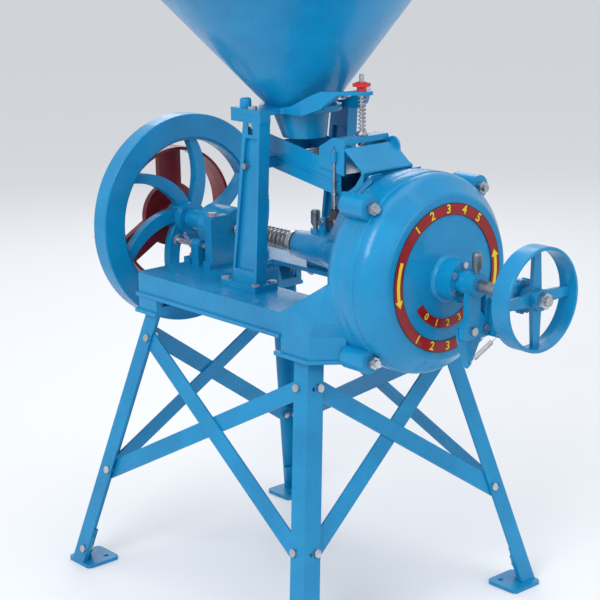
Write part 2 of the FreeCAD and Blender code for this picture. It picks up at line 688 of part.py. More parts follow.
def stand():
    bolt_hole = value("stand_bolt + 2 * free_gap")
    reach = value("2 * leg_flange") / 3
    feet, fasteners, washers = [], [], []
    for name, side_x, side_y in CORNERS:
        blank = new_body("leg_blank_" + name, kept=False)
        leaning_angle(blank, side_x, side_y, "foot_thick", "bed_top - deck_thick", 0,
                      "leg_flange", "leg_wall")
        normals = face_normals(side_x, side_y)
        drills = []
        for height in ("brace_high", "brace_low", "(skirt_low + bed_top) / 2"):
            for spot, normal in zip(leg_spots(side_x, side_y, height), normals):
                drills.append(hole(spot, normal, bolt_hole, reach))
        foot_spot = leg_spots(side_x, side_y, "foot_bolt_height")[0]
        drills.append(hole(foot_spot, normals[0], bolt_hole, reach))
        for height in ("brace_high", "brace_low"):
            spare = leg_spots(side_x, side_y, height, "spare_slot_inset")[1]
            drills.append(hole(spare, normals[1], bolt_hole * 0.8, reach))
        cut("leg_" + name, blank, drills)

        foot = new_body("foot_blank_" + name, kept=False)
        centre = ("%d * foot_centre_x" % side_x, "%d * foot_centre_y" % side_y)
        plate = extrude(foot, new_sketch(foot, "XY", box(
            centre[0] + " - foot_length / 2", centre[1] + " - foot_width / 2",
            centre[0] + " + foot_length / 2", centre[1] + " + foot_width / 2")), "foot_thick")
        soften(foot, plate, "foot_corner", is_upright)
        leaning_angle(foot, side_x, side_y, "foot_thick", "foot_thick + foot_upright",
                      "leg_wall", "leg_flange - leg_wall", "foot_wall")
        floor_spot = Vector(value("%s - %d * floor_hole_in" % (centre[0], side_x)),
                            value("%s - %d * floor_hole_in" % (centre[1], side_y)), 0)
        drilled = doc.addObject("Part::Cut", "foot_" + name)
        drilled.Base = foot
        drilled.Tool = stock("foot_drill_" + name, [
            hole(foot_spot, normals[0], bolt_hole, reach),
            hole(floor_spot, Vector(0, 0, 1), value("floor_hole"), reach)])
        feet.append(drilled)
        inner = foot_spot - normals[0] * value("leg_wall + foot_wall")
        fasteners.append(stand_bolt_at(foot_spot, normals[0], "leg_wall + foot_wall"))
        fasteners.append(stand_nut_at(inner, normals[0]))

        for height in ("brace_high", "brace_low"):
            for face, (spot, normal) in enumerate(zip(leg_spots(side_x, side_y, height), normals)):
                packed = is_packed(side_x, side_y, height, face)
                stack = "leg_wall + brace_thick" + (" + brace_thick" if packed else "")
                fasteners.append(stand_bolt_at(spot, normal, stack))
                fasteners.append(stand_nut_at(spot - normal * value(stack), normal))
                if packed:
                    seat = spot - normal * value("leg_wall + brace_thick")
                    ring = rod(seat, seat + normal * value("brace_thick"), value("head_across / 2"))
                    washers.append(ring.cut(hole(spot, normal, bolt_hole, reach)))
    group("feet", feet)
    made("stand_bolts_and_nuts", Part.makeCompound(fasteners))
    made("brace_packing_washers", Part.makeCompound(washers))


def is_packed(side_x, side_y, height, face):
    """Whether the bar bolted here is the inner one of its pair, held off by washers."""
    if face == 0:
        outer_is_high = side_x < 0
    else:
        outer_is_high = side_y < 0
    return (height == "brace_high") != outer_is_high


def stand_bolt_at(spot, normal, stack):
    return bolt(spot, normal, value("stand_bolt"), value(stack + " + nut_thick + 2"),
                value("head_across"), value("head_thick"))


def stand_nut_at(seat, normal):
    return nut(seat, -normal, value("stand_bolt"), value("head_across"), value("nut_thick"))


def flat_bar(start, end, normal, depth):
    """A flat bar behind a leaning face, with a hole at each of its two bolts."""
    width, thick, beyond = values("brace_width", "brace_thick", "brace_end")
    bolt_hole = value("stand_bolt + 2 * free_gap")
    along = (end - start).normalize()
    across = normal.cross(along)
    back = start - normal * (depth + thick)
    corners = [back - along * beyond - across * width / 2,
               back + along * ((end - start).Length + beyond) - across * width / 2,
               back + along * ((end - start).Length + beyond) + across * width / 2,
               back - along * beyond + across * width / 2]
    bar = Part.Face(Part.makePolygon(corners + corners[:1])).extrude(normal * thick)
    return bar.cut([hole(spot, normal, bolt_hole, 4 * thick + depth) for spot in (start, end)])


def braces():
    """Two crossed bars on each of the four sides, the outer one on the legs' inner faces."""
    outer, inner = value("leg_wall"), value("leg_wall + brace_thick")
    for name, side in (("near", -1), ("far", 1)):
        normal = face_normals(1, side)[0]
        spots = {(x, height): leg_spots(x, side, height)[0]
                 for x in (-1, 1) for height in ("brace_high", "brace_low")}
        made("braces_" + name, Part.makeCompound([
            flat_bar(spots[-1, "brace_high"], spots[1, "brace_low"], normal, outer),
            flat_bar(spots[-1, "brace_low"], spots[1, "brace_high"], normal, inner)]))
    for name, side in (("rear", -1), ("front", 1)):
        normal = face_normals(side, 1)[1]
        spots = {(y, height): leg_spots(side, y, height)[1]
                 for y in (-1, 1) for height in ("brace_high", "brace_low")}
        made("braces_" + name, Part.makeCompound([
            flat_bar(spots[-1, "brace_high"], spots[1, "brace_low"], normal, outer),
            flat_bar(spots[-1, "brace_low"], spots[1, "brace_high"], normal, inner)]))


def leg_envelope(side_x, side_y, height):
    """The space inside the outer faces of a leaning leg, at one height."""
    x, y = leg_corner(side_x, side_y, height)
    inner_x = "%s - %d * (leg_flange + bead_out)" % (x, side_x)
    inner_y = "%s - %d * (leg_flange + bead_out)" % (y, side_y)
    return [(x, y), (inner_x, y), (inner_x, inner_y), (x, inner_y)]


def clear_legs(body, side_x):
    """Cut the space of two legs out of the skirts, from below up to the deck."""
    for side_y in (-1, 1):
        loft(body, [new_sketch(body, "XY", leg_envelope(side_x, side_y, height),
                               lift=height)
                    for height in ("skirt_low - 1", "bed_top - deck_thick")], "SubtractiveLoft")


BED_BOLTS = ("-115", "-60", "60", "115")


def bed():
    body = new_body("bed_blank", kept=False)
    extrude(body, new_sketch(body, "XY", box("bed_rear", "-bed_half", "bed_joint", "bed_half"),
                             lift="rail_low"), "bed_top - rail_low")
    pocket(body, new_sketch(body, "XY", box("bed_rear + bed_wall", "bed_wall - bed_half",
                                            "bed_joint - bed_wall", "bed_half - bed_wall"),
                            lift="rail_low"), "bed_top - deck_thick - rail_low", back=True)
    pocket(body, new_sketch(body, "XY", box("bed_window_rear", "-bed_window_half",
                                            "bed_window_front", "bed_window_half"),
                            lift="bed_top"), "deck_thick")
    for side in (-1, 1):
        y = lambda size: "%d * (%s)" % (side, size)
        extrude(body, new_sketch(body, "XY", box("bed_rear", y("bed_half"),
                                                 "bed_rear + skirt_length", y("bed_half - skirt_width")),
                                 lift="skirt_low"), "bed_top - deck_thick - skirt_low")
        extrude(body, new_sketch(body, "XY", [
            ("bed_rear - bead_out", y("bed_half + bead_out")),
            ("bed_rear + skirt_length", y("bed_half + bead_out")),
            ("bed_rear + skirt_length", y("bed_half - bead_out")),
            ("bed_rear + bead_out", y("bed_half - bead_out")),
            ("bed_rear + bead_out", y("bed_half - skirt_width")),
            ("bed_rear - bead_out", y("bed_half - skirt_width"))], lift="skirt_low"), "bead_high")
        extrude(body, new_sketch(body, "XY", box("bed_rear", y("bed_half - bed_wall / 2"),
                                                 "bed_joint", y("bed_half + bead_out")),
                                 lift="rail_low"), "bead_high")
    clear_legs(body, -1)
    middle = ("-jack_offset", "jack_height")
    lug = [box("-(jack_offset + jack_dia)", "bed_top - deck_thick / 2",
               "jack_dia - jack_offset", "jack_height"), disc(*middle, "jack_dia")]
    for outline in lug:
        extrude(body, new_sketch(body, "YZ", outline, lift="jack_lug"), "2 * jack_dia", both=True)
    pocket(body, new_sketch(body, "YZ", disc(*middle, "jack_dia / 2 + running_gap"),
                                   lift="jack_lug"), "4 * jack_dia", both=True)
    for across in BED_BOLTS:
        pocket(body, new_sketch(body, "YZ", disc(across, "bed_bolt_height",
                                                 "stand_bolt / 2 + free_gap"),
                                lift="bed_joint + bed_wall"), "3 * bed_wall")
    soften(body, body.Tip, "casting_round",
           lambda edge: is_upright(edge) and near(edge.BoundBox.XMin, value("bed_rear"))
           and near(abs(edge.BoundBox.YMin), value("bed_half")))
    less("bed_frame", body, [casting_drill("bed_drill")])


def bed_bolt_holes(name):
    return [round_bar(name + "_bolt_hole", ALONG, "bed_joint - 2 * bed_wall", across,
                      "bed_bolt_height", "stand_bolt / 2 + free_gap", "4 * bed_wall")
            for across in BED_BOLTS]


def lug_pins(name, start, length, radius):
    """Four cylinders on the lug circle, halfway between the head's axes."""
    spot = "lug_circle * cos(45)"
    return [round_bar(name, ALONG, start, "%d * %s" % (side_y, spot),
                      "shaft_height + %d * %s" % (side_z, spot), radius, length)
            for side_y in (-1, 1) for side_z in (-1, 1)]


def bell_inside(x):
    return ("neck_bend_radius + (%s - neck_bend) * (bell_radius - neck_bend_radius)"
            " / (drum_back - neck_bend) - 1.5 * bed_wall" % x)


def bell():
    """The neck round the front bearing, the bell and the drum's flange, with the throat."""
    body = new_body("bell", z="shaft_height", kept=False)
    bore = "shaft_dia / 2 + bush_wall"
    shell = turn(body, new_sketch(body, "XZ", [
        ("neck_rear", bore), ("neck_rear", "neck_radius"), ("neck_bend", "neck_bend_radius"),
        ("drum_back", "bell_radius"), ("drum_joint", "bell_radius"),
        ("drum_joint", "throat_radius"), ("throat_rear", "throat_radius"), ("throat_rear", bore)]))
    flare = soften(body, shell, "bell_bend", lambda edge: is_ring(edge, value("neck_bend"),
                                                                  value("neck_bend_radius")))
    soften(body, flare, "bell_shoulder", lambda edge: is_ring(edge, value("drum_back"),
                                                              value("bell_radius")))
    return body


def bell_space():
    """The hollow round the worm's throat."""
    body = new_body("bell_space", z="shaft_height", kept=False)
    rear, front = "throat_rear + bed_wall", "drum_joint - bulkhead"
    tube = "throat_radius + throat_wall"
    turn(body, new_sketch(body, "XZ", [
        (rear, tube), (rear, bell_inside(rear)), ("drum_back + bed_wall", bell_inside("drum_back")),
        (front, bell_inside("drum_back")), (front, tube)]))
    return body


def pedestal_plan(rear, rear_half, nose, nose_half, front, front_half):
    """One level of the pedestal: its two rear, nose and front corners."""
    near_side = [(rear, "-(%s)" % rear_half), (nose, "-(%s)" % nose_half),
                 (front, "-(%s)" % front_half)]
    return near_side + [(front, front_half), (nose, nose_half), (rear, rear_half)]


def pedestal():
    """Upright walls over the front legs that swing out into the drum, with a sloping roof."""
    body = new_body("pedestal", kept=False)
    drum_side = "bell_radius - 1.5"
    levels = (
        ("skirt_low", "bed_joint", "bed_half", "pedestal_nose", "bed_half",
         "pedestal_front", "pedestal_arch_half"),
        ("pedestal_waist", "bed_joint", "bed_half", "waist_nose", "bed_half",
         "waist_front", "waist_half"),
        ("bed_top", "bed_joint", "bed_half", "hip_nose", "bed_half", "hip_front", "hip_half"),
        ("shaft_height", "bed_joint + roof_run", "bell_radius - bed_wall", "drum_back", drum_side,
         "drum_joint - 1", drum_side))
    loft(body, [new_sketch(body, "XY", pedestal_plan(*level[1:]), lift=level[0])
                for level in levels])
    return body


def pedestal_space():
    """The space inside the pedestal, open at the bottom."""
    body = new_body("pedestal_space", kept=False)
    extrude(body, new_sketch(body, "XY", [
        ("bed_joint + bed_wall", "bed_wall - bed_half"),
        ("pedestal_nose - 4", "bed_wall - bed_half"),
        ("pedestal_front - bed_wall", "6 - pedestal_arch_half"),
        ("pedestal_front - bed_wall", "pedestal_arch_half - 6"),
        ("pedestal_nose - 4", "bed_half - bed_wall"),
        ("bed_joint + bed_wall", "bed_half - bed_wall")], lift="skirt_low - 1"),
        "bed_top - deck_thick - skirt_low + 1")
    extrude(body, new_sketch(body, "XY", box("bed_joint + 7 * bed_wall", "-0.45 * bed_half",
                                             "pedestal_front - 2 * bed_wall", "0.45 * bed_half"),
                             lift="skirt_low - 1"),
            "shaft_height - skirt_low + 1 - throat_radius - throat_wall")
    return body


def saddle():
    """The block on the bell that carries the inlet, with its slanting seat."""
    body = new_body("saddle", kept=False)
    rear, front = "saddle_rear_height", "saddle_front_height"
    extrude(body, new_sketch(body, "XZ", [
        ("saddle_rear", rear), ("saddle_front", front),
        ("saddle_front", "%s - saddle_thick" % front),
        ("saddle_rear", "%s - saddle_thick" % rear)]), "2 * saddle_half", both=True)
    under = "%s - saddle_thick / 2"
    extrude(body, new_sketch(body, "XZ", [
        ("chute_rear - bed_wall", under % rear), ("chute_front + bed_wall", under % front),
        ("chute_front + bed_wall", "shaft_height + throat_radius / 2"),
        ("chute_rear - bed_wall", "shaft_height + throat_radius / 2")]),
        "2 * (chute_half + bed_wall)", both=True)
    return body


def bell_ribs():
    """Two ribs from the neck up to the drum's upper lugs."""
    body = new_body("bell_ribs", z="shaft_height", kept=False)
    rib = extrude(body, new_sketch(body, "XZ", [
        ("rib_foot", "neck_radius"), ("rib_foot + 20", "neck_bend_radius"),
        ("drum_joint - back_lug_length", "lug_circle + lug_radius / 2"),
        ("drum_joint - 2", "lug_circle"), ("drum_joint - 2", "bell_radius - 20"),
        ("neck_bend", "neck_radius")], tilt=45), "rib_thick", both=True)
    mirror(body, [rib], "XZ")
    return body


def leg_sockets():
    """Solid corners over the front legs, with a lip along the lower edge."""
    items = []
    for side in (-1, 1):
        y = lambda size: "%d * (%s)" % (side, size)
        body = new_body("leg_socket", kept=False)
        extrude(body, new_sketch(body, "XY", box(
            "pedestal_nose - skirt_length", y("bed_half - 8"),
            "pedestal_nose - 2", y("bed_half - skirt_width")), lift="skirt_low"),
            "bed_top - deck_thick - skirt_low + 2")
        items.append(body)
        lip = new_body("pedestal_lip", kept=False)
        extrude(lip, new_sketch(lip, "XY", [
            ("bed_joint - 18", y("bed_half + bead_out")), ("pedestal_nose", y("bed_half + bead_out")),
            ("pedestal_front + bead_out", y("pedestal_arch_half")),
            ("pedestal_front - bead_out", y("pedestal_arch_half")),
            ("pedestal_nose - bead_out", y("bed_half - bead_out")),
            ("bed_joint - 18", y("bed_half - bead_out"))], lift="skirt_low"), "bead_high")
        items.append(lip)
    return items


def leg_spaces(name, side_x):
    items = []
    for side_y in (-1, 1):
        body = new_body(name + "_leg_space", kept=False)
        loft(body, [new_sketch(body, "XY", leg_envelope(side_x, side_y, height), lift=height)
                    for height in ("skirt_low - 1", "bed_top - deck_thick")])
        items.append(body)
    return items


def neck_fittings():
    """Boss for the grease cup and fork for the shaker lever, on top of the neck."""
    body = new_body("neck_fittings", z="shaft_height", kept=False)
    bore = "shaft_dia / 2 + bush_wall"
    extrude(body, new_sketch(body, "XY", disc("cup_station", 0, 12), lift=bore + " + 1"),
            "cup_boss_top - (%s) - 1" % bore)
    pivot = "shaker_pivot_height - shaft_height"
    for outline in (box("shaker_pivot - 9", bore + " + 1", "shaker_pivot + 9", pivot),
                    disc("shaker_pivot", pivot, 9)):
        extrude(body, new_sketch(body, "XZ", outline), "26", both=True)
    pocket(body, new_sketch(body, "XZ", box("shaker_pivot - 12", "neck_bend_radius - 2",
                                            "shaker_pivot + 12", pivot + " + 12")), "12", both=True)
    return body


def mill_body():
    base = union("mill_body_blank", [bell(), pedestal(), saddle(), bell_ribs(), neck_fittings()]
                 + lug_pins("back_lug", "drum_joint - back_lug_length", "back_lug_length",
                            "lug_radius"))
    shell = doc.addObject("Part::Cut", "mill_body_shell")
    shell.Base = base
    shell.Tool = union("mill_body_space", [bell_space(), pedestal_space()])
    walls = block("chute_walls", "chute_rear - bed_wall", "-(chute_half + bed_wall)",
                  "shaft_height + throat_radius / 2", "chute_front - chute_rear + 2 * bed_wall",
                  "2 * (chute_half + bed_wall)", "throat_radius + 2 * throat_wall")
    whole = union("mill_body_walls", [shell, walls] + leg_sockets())
    bore = "shaft_dia / 2 + bush_wall"
    less("mill_body", whole, leg_spaces("front", 1) + [
        block("chute", "chute_rear", "-chute_half", "shaft_height", "chute_front - chute_rear",
              "2 * chute_half", "bell_radius + lug_radius"),
        round_bar("throat", ALONG, "throat_rear", 0, "shaft_height", "throat_radius",
                  "drum_joint + 1 - throat_rear"),
        round_bar("neck_bore", ALONG, "neck_rear - 1", 0, "shaft_height", bore,
                  "throat_rear + 2 - neck_rear"),
        round_bar("cup_hole", UP, "cup_station", 0, "shaft_height", 4, "3 * bush_wall + shaft_dia"),
        round_bar("lever_pin_hole", ACROSS, "shaker_pivot", -20, "shaker_pivot_height",
                  "4 + running_gap", 40),
        block("pin_slot", "shaker_pin - 9", -7, "shaft_height + 20", 18, 14, 40)]
        + lug_pins("lug_hole", "drum_joint - back_lug_length - 5", "back_lug_length + 10",
                   "lug_bolt / 2 + free_gap")
        + lug_pins("head_space", "drum_joint - back_lug_length - 20", "20",
                   "lug_nut_across * 0.6 + 1")
        + bed_bolt_holes("body") + [casting_drill("body_drill")])

def cover():
    """The deep dish over the grinding plates, with its lugs, boss and raised bands."""
    body = new_body("cover_shell", z="shaft_height", kept=False)
    inner_face = "cover_face - cover_wall"
    shell = turn(body, new_sketch(body, "XZ", [
        ("drum_joint", "cover_radius - cover_wall"), ("drum_joint", "cover_radius"),
        ("cover_shoulder", "cover_radius"), ("cover_face", "cover_face_radius"),
        ("cover_face", "band_outer"), ("cover_face + band_high", "band_outer"),
        ("cover_face + band_high", "band_inner"), ("cover_face", "band_inner"),
        ("cover_face", "hub_radius"), ("hub_front", "hub_radius"),
        ("hub_front", "cup_radius + running_gap"), (inner_face, "cup_radius + running_gap"),
        (inner_face, "cover_face_radius - cover_wall / 2"),
        ("cover_shoulder - cover_wall / 2", "cover_radius - cover_wall")]))
    rounds = {("cover_shoulder", "cover_radius"): "cover_round",
              ("cover_face", "cover_face_radius"): "cover_round / 3",
              ("cover_face", "hub_radius"): "cover_wall"}
    for (x, radius), size in rounds.items():
        shell = soften(body, shell, size, lambda edge: is_ring(edge, value(x), value(radius)))
    arc = new_body("small_band", z="shaft_height", kept=False)
    rise = "* sin(small_band_rise)"
    run = "* cos(small_band_rise)"
    extrude(arc, new_sketch(arc, "YZ", [
        ("-small_band_outer " + run, "-small_band_outer " + rise, "small_band_outer"),
        ("small_band_outer " + run, "-small_band_outer " + rise),
        ("small_band_inner " + run, "-small_band_inner " + rise, "-small_band_inner"),
        ("-small_band_inner " + run, "-small_band_inner " + rise)], lift="cover_face - 1"),
        "band_high + 1")
    whole = union("cover_whole", [body, arc] + lug_pins("cover_lug", "drum_joint", "cover_lug_thick",
                                                       "lug_radius"))
    space = round_bar("cover_space", ALONG, "drum_joint - 1", 0, "shaft_height",
                      "cover_radius - cover_wall", "cover_lug_thick + 1")
    outlet = block("outlet", "drum_joint + outlet_inset", "-outlet_width / 2",
                   "shaft_height - cover_radius - 5", "outlet_length", "outlet_width",
                   "cover_wall * 5")
    less("front_cover", whole, [space, outlet] + housing_bolt_holes("cover", 25)
         + lug_pins("cover_lug_hole", "drum_joint - 5", "cover_lug_thick + 10",
                    "lug_bolt / 2 + free_gap"))
    fasteners = []
    spot = value("lug_circle * cos(45)")
    back = value("drum_joint - back_lug_length")
    front = value("drum_joint + cover_lug_thick")
    size, across = values("lug_bolt", "lug_nut_across")
    for side_y in (-1, 1):
        for side_z in (-1, 1):
            y, z = side_y * spot, value("shaft_height") + side_z * spot
            fasteners.append(bolt(Vector(back, y, z), Vector(-1, 0, 0), size,
                                  front - back + size + 5, across, size * 0.6))
            fasteners.append(nut(Vector(front, y, z), Vector(1, 0, 0), size, across, size * 0.8))
    made("cover_bolts_and_nuts", Part.makeCompound(fasteners))


def housing_bolt_spots():
    radius = value("hub_radius - housing_bolt")
    return [Vector(0, radius * math.cos(angle), value("shaft_height") + radius * math.sin(angle))
            for angle in (math.pi / 6, math.pi / 2, 5 * math.pi / 6, 7 * math.pi / 6,
                          3 * math.pi / 2, 11 * math.pi / 6)]


def housing_bolt_holes(name, deep):
    """Blind tapped holes in the cover's boss, or through holes in the housing's flange."""
    return [round_bar(name + "_housing_hole", ALONG, "hub_front - %d" % deep,
                      "(hub_radius - housing_bolt) * cos(%d)" % angle,
                      "shaft_height + (hub_radius - housing_bolt) * sin(%d)" % angle,
                      "housing_bolt / 2 + running_gap", deep + 30)
            for angle in (30, 90, 150, 210, 270, 330)]


def rear_bearing():
    """A split block with ears, on the bed's rear deck."""
    length = "bearing_front - bearing_rear"
    bore = round_bar("bearing_bore", ALONG, "bearing_rear - 1", 0, "shaft_height",
                     "shaft_dia / 2 + bush_wall", length + " + 2")
    ear = "bearing_front - ear_rear"
    bolt_x = "(bearing_front + ear_rear) / 2"
    bolt_y = "bearing_bolt_out"
    foot_x = "bearing_rear + foot_step / 2 + 1.5"
    ear_bolts = [round_bar("bearing_bolt_hole", UP, bolt_x, "%d * (%s)" % (side, bolt_y),
                           "bed_top - deck_thick - 1", "bearing_bolt / 2 + free_gap", 200)
                 for side in (-1, 1)]
    foot_bolts = [round_bar("bearing_foot_hole", UP, foot_x, "%d * (%s)" % (side, bolt_y),
                            "bed_top - deck_thick - 1", "bearing_bolt / 2 + free_gap", 60)
                  for side in (-1, 1)]
    base = union("bearing_base_blank", [
        block("bearing_foot_front", "ear_rear", "-bearing_foot_half", "bed_top", ear,
              "2 * bearing_foot_half", "bearing_foot_thick"),
        block("bearing_foot_rear", "bearing_rear", "-bearing_foot_half", "bed_top",
              "foot_step", "2 * bearing_foot_half", "bearing_foot_thick"),
        block("bearing_foot_middle", "bearing_rear", "-bearing_radius - 4", "bed_top", length,
              "2 * bearing_radius + 8", "bearing_foot_thick"),
        block("bearing_web", "bearing_rear + 6", "6 - bearing_radius", "bed_top", length + " - 12",
              "2 * bearing_radius - 12", "shaft_height - bed_top"),
        block("bearing_ears", "ear_rear", "-ear_half", "bed_top", ear, "2 * ear_half",
              "shaft_height - bed_top")])
    lower = doc.addObject("Part::Common", "bearing_lower_half")
    lower.Base = round_bar("bearing_lower_barrel", ALONG, "bearing_rear", 0, "shaft_height",
                           "bearing_radius", length)
    lower.Tool = block("bearing_lower_space", "bearing_rear", "-bearing_radius",
                       "shaft_height - bearing_radius", length, "2 * bearing_radius",
                       "bearing_radius")
    less("rear_bearing_base", union("bearing_base_whole", [base, lower]),
         [bore] + ear_bolts + foot_bolts)
    upper = doc.addObject("Part::Common", "bearing_upper_half")
    upper.Base = round_bar("bearing_upper_barrel", ALONG, "bearing_rear", 0, "shaft_height",
                           "bearing_radius", length)
    upper.Tool = block("bearing_upper_space", "bearing_rear", "-bearing_radius", "shaft_height",
                       length, "2 * bearing_radius", "bearing_radius")
    ears = new_body("cap_ears", kept=False)
    slab = extrude(ears, new_sketch(ears, "XY", box("ear_rear", "-ear_half", "bearing_front",
                                                    "ear_half"), lift="shaft_height"), "ear_high")
    soften(ears, slab, "bearing_bolt / 2", lambda edge: near(abs(edge.CenterOfMass.y),
                                                            value("ear_half"))
           and near(edge.CenterOfMass.z, value("shaft_height + ear_high"), 1))
    less("rear_bearing_cap", union("bearing_cap_whole", [upper, ears]),
         [doc.getObject("bearing_bore")] + ear_bolts)
    shanks = []
    size = value("bearing_bolt")
    for side in (-1, 1):
        top = Vector(value(bolt_x), side * value(bolt_y), value("shaft_height + ear_high"))
        shanks.append(bolt(top, Vector(0, 0, 1), size, value("shaft_height + ear_high - bed_top"
                                                             " + deck_thick + bearing_bolt + 4"),
                           size * 1.5, size * 0.62))
        shanks.append(nut(Vector(top.x, top.y, value("bed_top - deck_thick")), Vector(0, 0, -1),
                          size, size * 1.5, size * 0.8))
        foot = Vector(value(foot_x), top.y, value("bed_top + bearing_foot_thick"))
        small = value("foot_bolt")
        shanks.append(bolt(foot, Vector(0, 0, 1), small,
                           value("bearing_foot_thick + deck_thick + foot_bolt + 4"),
                           small * 1.5, small * 0.62))
        shanks.append(nut(Vector(foot.x, foot.y, value("bed_top - deck_thick")),
                          Vector(0, 0, -1), small, small * 1.5, small * 0.8))
    made("rear_bearing_bolts", Part.makeCompound(shanks))
    size = value("jack_dia")
    head = Vector(value("jack_head"), -value("jack_offset"), value("jack_height"))
    lug_face = value("jack_lug - jack_dia")
    screw = rod(head, Vector(value("ear_rear - running_gap"), head.y, head.z), size / 2)
    screw = screw.fuse(hexagon(head, Vector(1, 0, 0), size * 1.6, size * 0.65))
    lock = nut(Vector(lug_face, head.y, head.z), Vector(-1, 0, 0), size, size * 1.6, size * 0.7)
    made("bearing_jack_screw", Part.makeCompound([screw.removeSplitter(), lock]))


def bushes():
    """Two plain bushes: one in the neck, one in the rear bearing."""
    inner, outer = values("shaft_dia / 2 + running_gap", "shaft_dia / 2 + bush_wall")
    rings = []
    for start, end in (("bearing_rear + 1", "bearing_front - 1"), ("neck_rear + 1", "shaker_pin - 14")):
        begin = Vector(value(start), 0, value("shaft_height"))
        finish = Vector(value(end), 0, begin.z)
        rings.append(rod(begin, finish, outer).cut(rod(begin, finish, inner)))
    made("shaft_bushes", Part.makeCompound(rings))


def main_shaft():
    body = new_body("shaft_blank", z="shaft_height", kept=False)
    radius = "shaft_dia / 2"
    blank = turn(body, new_sketch(body, "XZ", [
        ("shaft_rear", 0), ("shaft_rear", radius), ("shaft_step", radius),
        ("shaft_step", "shaft_nose_dia / 2"), ("disc_hub_front", "shaft_nose_dia / 2"),
        ("disc_hub_front", "shaft_thread_dia / 2"), ("shaft_front", "shaft_thread_dia / 2"),
        ("shaft_front", 0)]))
    soften(body, blank, 2, lambda edge: is_ring(edge, value("shaft_rear"), value(radius)), "Chamfer")
    keyways = [block("keyway", start, "-key_width / 2", "shaft_height + shaft_dia / 2 - key_depth",
                     length, "key_width", "key_depth + 1")
               for start, length in (("pulley_front - pulley_width + 6", "pulley_width - 12"),
                                     ("flywheel_hub_rear", "flywheel_hub_front - flywheel_hub_rear"))]
    less("main_shaft", body, keyways)
    keys = [Part.makeBox(value(length), value("key_width"), value("key_high"),
                         Vector(value(start), -value("key_width") / 2,
                                value("shaft_height + shaft_dia / 2 - key_depth")))
            for start, length in (("pulley_front - pulley_width + 6", "pulley_width - 12"),
                                  ("flywheel_hub_rear", "flywheel_hub_front - flywheel_hub_rear"))]
    made("shaft_keys", Part.makeCompound(keys))


def key_space(name, start, length):
    return block(name + "_key_space", start, "-key_width / 2", "shaft_height", length, "key_width",
                 "shaft_dia / 2 - key_depth + key_high")


def spoke_corner(radius, angle, offset):
    """Formulas for a point at a radius and angle, moved sideways by an offset."""
    return ("(%s) * cos(%s) - (%s) * sin(%s)" % (radius, angle, offset, angle),
            "(%s) * sin(%s) + (%s) * cos(%s)" % (radius, angle, offset, angle))


def flywheel_spoke(body):
    """One spoke whose two sides are arcs that bulge the way the clock goes."""
    root, tip = "flywheel_hub_radius - 6", "flywheel_opening + 3"
    outline = [
        spoke_corner(root, "spoke_root_angle", "-spoke_root / 2") + ("spoke_bend",),
        spoke_corner(tip, "spoke_tip_angle", "-spoke_tip / 2"),
        spoke_corner(tip, "spoke_tip_angle", "spoke_tip / 2") + ("-spoke_bend",),
        spoke_corner(root, "spoke_root_angle", "spoke_root / 2")]
    return extrude(body, new_sketch(body, "YZ", outline), "spoke_thick", both=True)


def flywheel():
    body = new_body("flywheel_blank", x="flywheel_middle", z="shaft_height", kept=False)
    half = "flywheel_width / 2"
    rim = turn(body, new_sketch(body, "XZ", [
        ("-" + half, "flywheel_opening + flywheel_lip"), ("-" + half, "flywheel_radius"),
        (half, "flywheel_radius"), (half, "flywheel_opening + flywheel_lip"),
        (half + " - flywheel_lip", "flywheel_opening + flywheel_lip"),
        (half + " - flywheel_lip", "flywheel_opening"),
        ("flywheel_lip - " + half, "flywheel_opening"),
        ("flywheel_lip - " + half, "flywheel_opening + flywheel_lip")]))
    soften(body, rim, "flywheel_lip / 2", lambda edge: any(
        is_ring(edge, side * value(half), value("flywheel_radius")) for side in (-1, 1)))
    spokes = new_body("flywheel_spokes", x="flywheel_middle", z="shaft_height", kept=False)
    polar(spokes, [flywheel_spoke(spokes)], "X", "spoke_count")
    hub = round_bar("flywheel_hub", ALONG, "flywheel_hub_rear", 0, "shaft_height",
                    "flywheel_hub_radius", "flywheel_hub_front - flywheel_hub_rear")
    less("flywheel", union("flywheel_whole", [body, spokes, hub]), [
        round_bar("flywheel_bore", ALONG, "flywheel_hub_rear - 1", 0, "shaft_height",
                  "shaft_dia / 2 + rotor_fit", "flywheel_hub_front - flywheel_hub_rear + 2"),
        key_space("flywheel", "flywheel_hub_rear", "flywheel_hub_front - flywheel_hub_rear")])


def drive_pulley():
    body = new_body("pulley_blank", x="pulley_front - pulley_width / 2", z="shaft_height",
                    kept=False)
    half = "pulley_width / 2"
    turn(body, new_sketch(body, "XZ", [
        ("-" + half, "pulley_radius - pulley_rim"), ("-" + half, "pulley_radius - pulley_crown"),
        ("0", "pulley_radius"), (half, "pulley_radius - pulley_crown"),
        (half, "pulley_radius - pulley_rim"), ("0", "pulley_radius - pulley_rim - 2")]))
    spokes = new_body("pulley_spokes", x="pulley_front - pulley_width / 2", z="shaft_height",
                      kept=False)
    spoke = extrude(spokes, new_sketch(spokes, "YZ", box(
        "-pulley_spoke / 2", "pulley_hub_radius - 8", "pulley_spoke / 2",
        "pulley_radius - pulley_rim + 1")), "pulley_spoke_thick", both=True)
    polar(spokes, [spoke], "X", "pulley_spoke_count")
    web = round_bar("pulley_web", ALONG, "pulley_front - (pulley_width + pulley_spoke_thick) / 2", 0,
                    "shaft_height", "pulley_web_radius", "pulley_spoke_thick")
    hub = round_bar("pulley_hub", ALONG, "pulley_front - pulley_width + 2", 0, "shaft_height",
                    "pulley_hub_radius", "pulley_width - 2")
    less("drive_pulley", union("pulley_whole", [body, spokes, web, hub]), [
        round_bar("pulley_bore", ALONG, "pulley_front - pulley_width", 0, "shaft_height",
                  "shaft_dia / 2 + rotor_fit", "pulley_width + 2"),
        key_space("pulley", "pulley_front - pulley_width + 6", "pulley_width - 12")])


